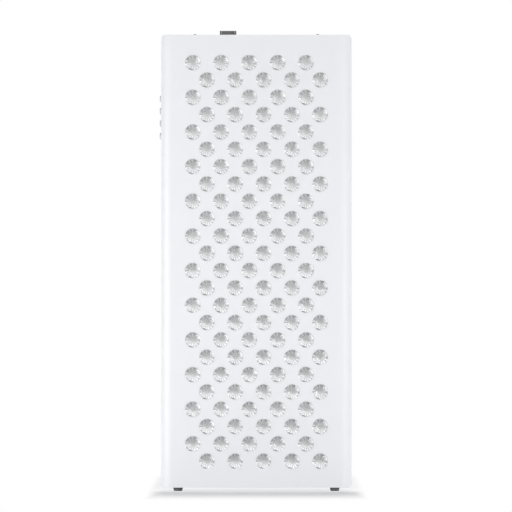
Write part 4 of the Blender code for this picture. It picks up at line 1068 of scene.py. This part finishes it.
def inlet():
    """The mains inlet: a rounded flange and a socket with two chamfered corners."""
    low, high = corners("inlet_socket")
    flange = block("inlet_flange", (low.x, COVER_HIGH.y + CLEARANCE, low.z), high)
    round_edges(flange, runs_back, INLET_RADIUS, CORNER_STEPS)
    ease(flange, INLET_EASE, steps=3, angle=60)
    half_width, half_height = INLET_WIDTH / 2, INLET_HEIGHT / 2
    barrel = block(
        "inlet_barrel",
        (INLET_X - half_width, low.y, INLET_Z - half_height),
        (INLET_X + half_width, high.y - INLET_BARREL_DROP, INLET_Z + half_height),
    )
    cut(flange, barrel, "UNION")
    floor_y = low.y + INLET_FLOOR
    side, end = half_width - INLET_WALL, half_height - INLET_WALL
    cavity = block(
        "inlet_cavity",
        (INLET_X - side, floor_y, INLET_Z - end),
        (INLET_X + side, high.y + OVERRUN, INLET_Z + end),
    )

    def upper_corner(start, finish):
        return runs_back(start, finish) and start.z > INLET_Z

    round_edges(cavity, upper_corner, INLET_CHAMFER, 1)
    cut(flange, cavity)
    tools = []
    for name in INLET_BLADES:
        start, finish = corners(f"inlet_blade_{name}")
        room = Vector((CLEARANCE, 0, CLEARANCE))
        finish.y = floor_y + OVERRUN
        tools.append(block("blade_slot", start - room, finish + room))
    for name in INLET_SCREWS:
        start, finish = corners(name)
        middle = (start + finish) / 2
        hole = rod("screw_hole", SCREW_HOLE_RADIUS, -OVERRUN * 2, OVERRUN, SCREW_HOLE_SIDES)
        tools.append(aim(hole, (0, 1, 0), (middle.x, high.y, middle.z)))
    cut(flange, join(tools, "inlet_cutters"))
    smooth_flat(flange)
    dress(flange, "case", INLET_PLASTIC, "dark_plastic", "inlet_socket")
    for name in INLET_BLADES:
        blade = block(f"mains_blade_{name}", *corners(f"inlet_blade_{name}"))
        ease(blade, INLET_EASE, steps=3)
        smooth_flat(blade)
        dress(blade, "case", BLADE_METAL, "brass", f"inlet_blade_{name}")


# Fans behind the grilles
def fan_frame(name):
    """A square fan frame with a round bore, flared corners, four struts and the motor's seat."""
    low, high = corners(f"fan_frame_{name}")
    middle = (low + high) / 2
    half = (high.x - low.x) / 2
    deep = (high.y - low.y) / 2
    past = deep + OVERRUN
    frame_piece = block(f"fan_case_{name}", (-half, -half, -deep), (half, half, deep))
    round_edges(frame_piece, stands, FAN_CORNER, FAN_CORNER_STEPS)
    ease(frame_piece, FAN_EASE, angle=60)
    cut(frame_piece, rod("fan_bore", FAN_RADIUS, -past, past, FAN_BORE_SIDES))
    reach = FAN_RADIUS + FAN_STRUT_OVERLAP
    strut = FAN_STRUT / 2
    base = deep - FAN_BASE
    upright = block("strut", (-strut, -reach, base), (strut, reach, deep))
    level = block("strut", (-reach, -strut, base), (reach, strut, deep))
    seat = rod("seat", FAN_HUB_RADIUS, base, deep, FAN_SEAT_SIDES)
    cut(upright, level, "UNION")
    cut(upright, seat, "UNION")
    pin = rod("pin", FAN_PIN_RADIUS, base - FAN_PIN_LENGTH, deep, FAN_PIN_SIDES)
    cut(upright, pin, "UNION")
    cut(frame_piece, upright, "UNION")
    places = [(x * FAN_HOLE_REACH, z * FAN_HOLE_REACH, 0) for x in (-1, 1) for z in (-1, 1)]
    hole = rod("fan_hole", SCREW_HOLE_RADIUS, -past, past, SCREW_HOLE_SIDES)
    cut(frame_piece, repeat(hole, places, "fan_holes"))
    smooth_flat(frame_piece)
    aim(frame_piece, (0, 1, 0), middle)
    dress(frame_piece, "case", FAN_PLASTIC, "dark_plastic", f"fan_frame_{name}")
    return middle


def fan_rotor(name, middle):
    """Seven twisted blades on a hub with a blind bore for its pin."""
    low, high = corners(f"fan_rotor_{name}")
    front, back = middle.y - low.y, middle.y - high.y
    rings = [
        (FAN_HUB_RADIUS, back),
        (FAN_HUB_RADIUS, front - HUB_ROUND),
        (FAN_HUB_RADIUS - HUB_SHOULDER_IN, front - HUB_SHOULDER_DROP),
        (FAN_HUB_RADIUS - HUB_ROUND, front),
    ]
    hub = turned(f"fan_wheel_{name}", rings, HUB_SIDES)
    bore = FAN_PIN_RADIUS + CLEARANCE
    cut(hub, rod("hub_bore", bore, back - OVERRUN, back + FAN_PIN_LENGTH, FAN_PIN_SIDES))
    inner, outer = FAN_HUB_RADIUS - BLADE_OVERLAP, FAN_RADIUS - BLADE_TIP_GAP
    span = (outer - inner) / BLADE_STEPS
    half_chord, half_thick = BLADE_CHORD / 2, BLADE_THICKNESS / 2
    blade = block("fan_blade", (0, -half_chord, -half_thick), (span, half_chord, half_thick))
    blade.rotation_euler = (BLADE_ROOT_ANGLE, 0, 0)
    settle(blade)
    edit_faces(blade, lambda centre, normal: normal.x > 0.9)
    twist = (BLADE_TIP_ANGLE - BLADE_ROOT_ANGLE) / (BLADE_STEPS - 1)
    for step in range(1, BLADE_STEPS):
        bpy.ops.mesh.extrude_region_move(TRANSFORM_OT_translate={"value": (span, 0, 0)})
        end = ((step + 1) * span, 0, 0)
        bpy.ops.transform.rotate(value=-twist, orient_axis="X", center_override=end)
    bpy.ops.object.mode_set(mode="OBJECT")
    ease(blade, BLADE_EASE, angle=50)
    blade.location = (inner, 0, (front + back) / 2)
    settle(blade)
    blades = []
    for number in range(BLADE_COUNT):
        copy = blade.copy()
        copy.data = blade.data.copy()
        copy.rotation_euler = (0, 0, 2 * math.pi * number / BLADE_COUNT)
        bpy.context.collection.objects.link(copy)
        blades.append(settle(copy))
    bpy.data.objects.remove(blade)
    cut(hub, join(blades, "fan_blades"), "UNION")
    smooth_flat(hub, 40)
    aim(hub, (0, -1, 0), middle)
    dress(hub, f"fan_{name}", FAN_PLASTIC, "dark_plastic", f"fan_rotor_{name}")


def finish_cad_nodes():
    """Gives the CAD pieces that are shown as they are their own materials."""
    finishes = {
        "led_board": BOARD_COAT,
        "heat_sink": SINK_METAL,
        "mounting_rail": ZINC,
        "led_driver": SINK_METAL,
        "button_board": BOARD_GREEN,
        "mains_lead": LEAD_SHEATH,
        "driver_lead": LEAD_SHEATH,
        "lamp_lead": LEAD_SHEATH,
        "fan_lead": LEAD_SHEATH,
        "button_lead": LEAD_SHEATH,
    }
    for name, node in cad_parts.items():
        for start, material in finishes.items():
            if name.startswith(start):
                for slot in node.material_slots:
                    slot.material = material


case_shell()
rear_cover()
for board_number in range(BOARD_COUNT):
    lenses(board_number)
switch()
rocker()
inlet()
for fan_name in FAN_NAMES:
    fan_rotor(fan_name, fan_frame(fan_name))
for button_number, button_body in enumerate(BUTTON_BODIES, 1):
    side_button(button_number, button_body)
for foot_name in FOOT_NAMES:
    foot(foot_name)
for screw_name in COVER_SCREWS + INLET_SCREWS:
    pan_head_screw(screw_name)
for screw_name in HANGING_SCREWS:
    hanging_screw(screw_name)
finish_cad_nodes()


# Stage: a pale floor, soft lamps, a white surround
WORLD_LIGHT = 0.27
FLOOR_SIZE = 12
FLOOR_REACH = 0.6
# How far beside the case the floor's camera glow rises to white: painted light that trims the shadow
# at the case's sides
PAINTED_SIDE_REACH = 0.02

# How white the floor is to the camera, from 0 to 1, at places from front to back: white beyond the
# shadow, and near the case painted light that lifts the shade under and behind the case and keeps a
# shadow band in front of it
PAINTED_FLOOR_GLOW = (
    (-0.34, 1), (-0.12, 0.05), (-0.07, 0.05), (-0.02, 0.72),
    (0.03, 0.72), (0.07, 0.35), (0.4, 0.35), (0.6, 1),
)

# Name, place, aim, width and height of the face, and power of each lamp
LAMPS = (
    ("left_lamp", (-1.3, -0.65, 0.24), (0, 0, 0.32), 0.44, 0.44, 9.4),
    ("right_lamp", (1.2, -0.82, 0.24), (0, 0, 0.32), 0.44, 0.44, 4.4),
    ("front_lamp", (4.6, -5.9, 2.6), (0, 0, 0.32), 5.0, 5.0, 184),
    ("top_lamp", (0, 0.9, 3.2), (0, 0, 0), 0.6, 1.8, 55),
)


def floor_stage():
    """A floor that shows the object's soft shadow and turns white to the camera beyond it; to the
    camera it also glows with painted light under and behind the case, and beside it, which lifts and
    trims the shade there.
    """
    deselect()
    bpy.ops.mesh.primitive_plane_add(size=FLOOR_SIZE, location=(0, 0, 0))
    floor = name_piece("floor")
    material, nodes, links, shader = new_material("floor_white", 0.9, 0.0)
    surface = place_group(nodes, GRAIN, Grain_Scale=30, Cloud_Scale=2)
    mix_tones(nodes, links, surface.outputs["Cloud"], (0.86, 0.86, 0.865), (0.88, 0.88, 0.885), shader)
    where = nodes.new("ShaderNodeTexCoord")
    parts = nodes.new("ShaderNodeSeparateXYZ")
    links.new(where.outputs["Object"], parts.inputs[0])
    along = nodes.new("ShaderNodeMapRange")
    along.inputs["From Min"].default_value = -FLOOR_REACH
    along.inputs["From Max"].default_value = FLOOR_REACH
    painted_depth_glow = nodes.new("ShaderNodeValToRGB")
    painted_depth_glow.color_ramp.interpolation = "EASE"
    stops = painted_depth_glow.color_ramp.elements
    while len(stops) < len(PAINTED_FLOOR_GLOW):
        stops.new(1)
    for stop, (place, share) in zip(stops, PAINTED_FLOOR_GLOW):
        stop.position = (place / FLOOR_REACH + 1) / 2
        stop.color = (share, share, share, 1)
    beside = nodes.new("ShaderNodeMath")
    beside.operation = "ABSOLUTE"
    painted_side_glow = nodes.new("ShaderNodeMapRange")
    painted_side_glow.interpolation_type = "SMOOTHSTEP"
    painted_side_glow.inputs["From Min"].default_value = CASE_HIGH.x
    painted_side_glow.inputs["From Max"].default_value = CASE_HIGH.x + PAINTED_SIDE_REACH
    larger = nodes.new("ShaderNodeMath")
    larger.operation = "MAXIMUM"
    links.new(parts.outputs["Y"], along.inputs["Value"])
    links.new(along.outputs["Result"], painted_depth_glow.inputs[0])
    links.new(parts.outputs["X"], beside.inputs[0])
    links.new(beside.outputs[0], painted_side_glow.inputs["Value"])
    links.new(painted_depth_glow.outputs[0], larger.inputs[0])
    links.new(painted_side_glow.outputs["Result"], larger.inputs[1])
    rays = nodes.new("ShaderNodeLightPath")
    seen = nodes.new("ShaderNodeMath")
    seen.operation = "MULTIPLY"
    glow = nodes.new("ShaderNodeEmission")
    choose = nodes.new("ShaderNodeMixShader")
    links.new(larger.outputs[0], seen.inputs[0])
    links.new(rays.outputs["Is Camera Ray"], seen.inputs[1])
    links.new(seen.outputs[0], choose.inputs[0])
    links.new(shader.outputs[0], choose.inputs[1])
    links.new(glow.outputs[0], choose.inputs[2])
    links.new(choose.outputs[0], nodes["Material Output"].inputs["Surface"])
    floor.data.materials.append(material)


def surround():
    """A surround that lights the object softly, and is white where it is seen or mirrored."""
    world = bpy.data.worlds.new("surround")
    world.use_nodes = True
    bpy.context.scene.world = world
    nodes, links = world.node_tree.nodes, world.node_tree.links
    light = nodes["Background"]
    light.inputs["Color"].default_value = (0.97, 0.98, 1, 1)
    light.inputs["Strength"].default_value = WORLD_LIGHT
    seen = nodes.new("ShaderNodeBackground")
    seen.inputs["Color"].default_value = (1, 1, 1, 1)
    seen.inputs["Strength"].default_value = 1
    rays = nodes.new("ShaderNodeLightPath")
    camera_or_glossy = nodes.new("ShaderNodeMath")
    camera_or_glossy.operation = "MAXIMUM"
    any_seen = nodes.new("ShaderNodeMath")
    any_seen.operation = "MAXIMUM"
    choose = nodes.new("ShaderNodeMixShader")
    links.new(rays.outputs["Is Camera Ray"], camera_or_glossy.inputs[0])
    links.new(rays.outputs["Is Glossy Ray"], camera_or_glossy.inputs[1])
    links.new(camera_or_glossy.outputs[0], any_seen.inputs[0])
    links.new(rays.outputs["Is Transmission Ray"], any_seen.inputs[1])
    links.new(any_seen.outputs[0], choose.inputs[0])
    links.new(light.outputs[0], choose.inputs[1])
    links.new(seen.outputs[0], choose.inputs[2])
    links.new(choose.outputs[0], nodes["World Output"].inputs["Surface"])


def soft_lamp(name, place, aim_at, width, height, power):
    """A soft lamp with an oval face."""
    lamp = bpy.data.lights.new(name, "AREA")
    lamp.shape = "ELLIPSE"
    lamp.size = width
    lamp.size_y = height
    lamp.energy = power
    holder = bpy.data.objects.new(name, lamp)
    bpy.context.scene.collection.objects.link(holder)
    holder.location = place
    toward = Vector(aim_at) - Vector(place)
    holder.rotation_euler = toward.to_track_quat("-Z", "Y").to_euler()


floor_stage()
surround()
for lamp_values in LAMPS:
    soft_lamp(*lamp_values)

camera = bpy.data.cameras.new("camera")
camera.sensor_width = SENSOR
camera.lens = SENSOR * VIEW_DISTANCE / VIEW_SPAN
camera.clip_end = 100
viewer = bpy.data.objects.new("camera", camera)
viewer.location = (VIEW_X, CASE_LOW.y - VIEW_DISTANCE, VIEW_HEIGHT)
viewer.rotation_euler = (math.pi / 2, 0, 0)
bpy.context.scene.collection.objects.link(viewer)
bpy.context.scene.camera = viewer
bpy.context.scene.view_settings.view_transform = "Standard"
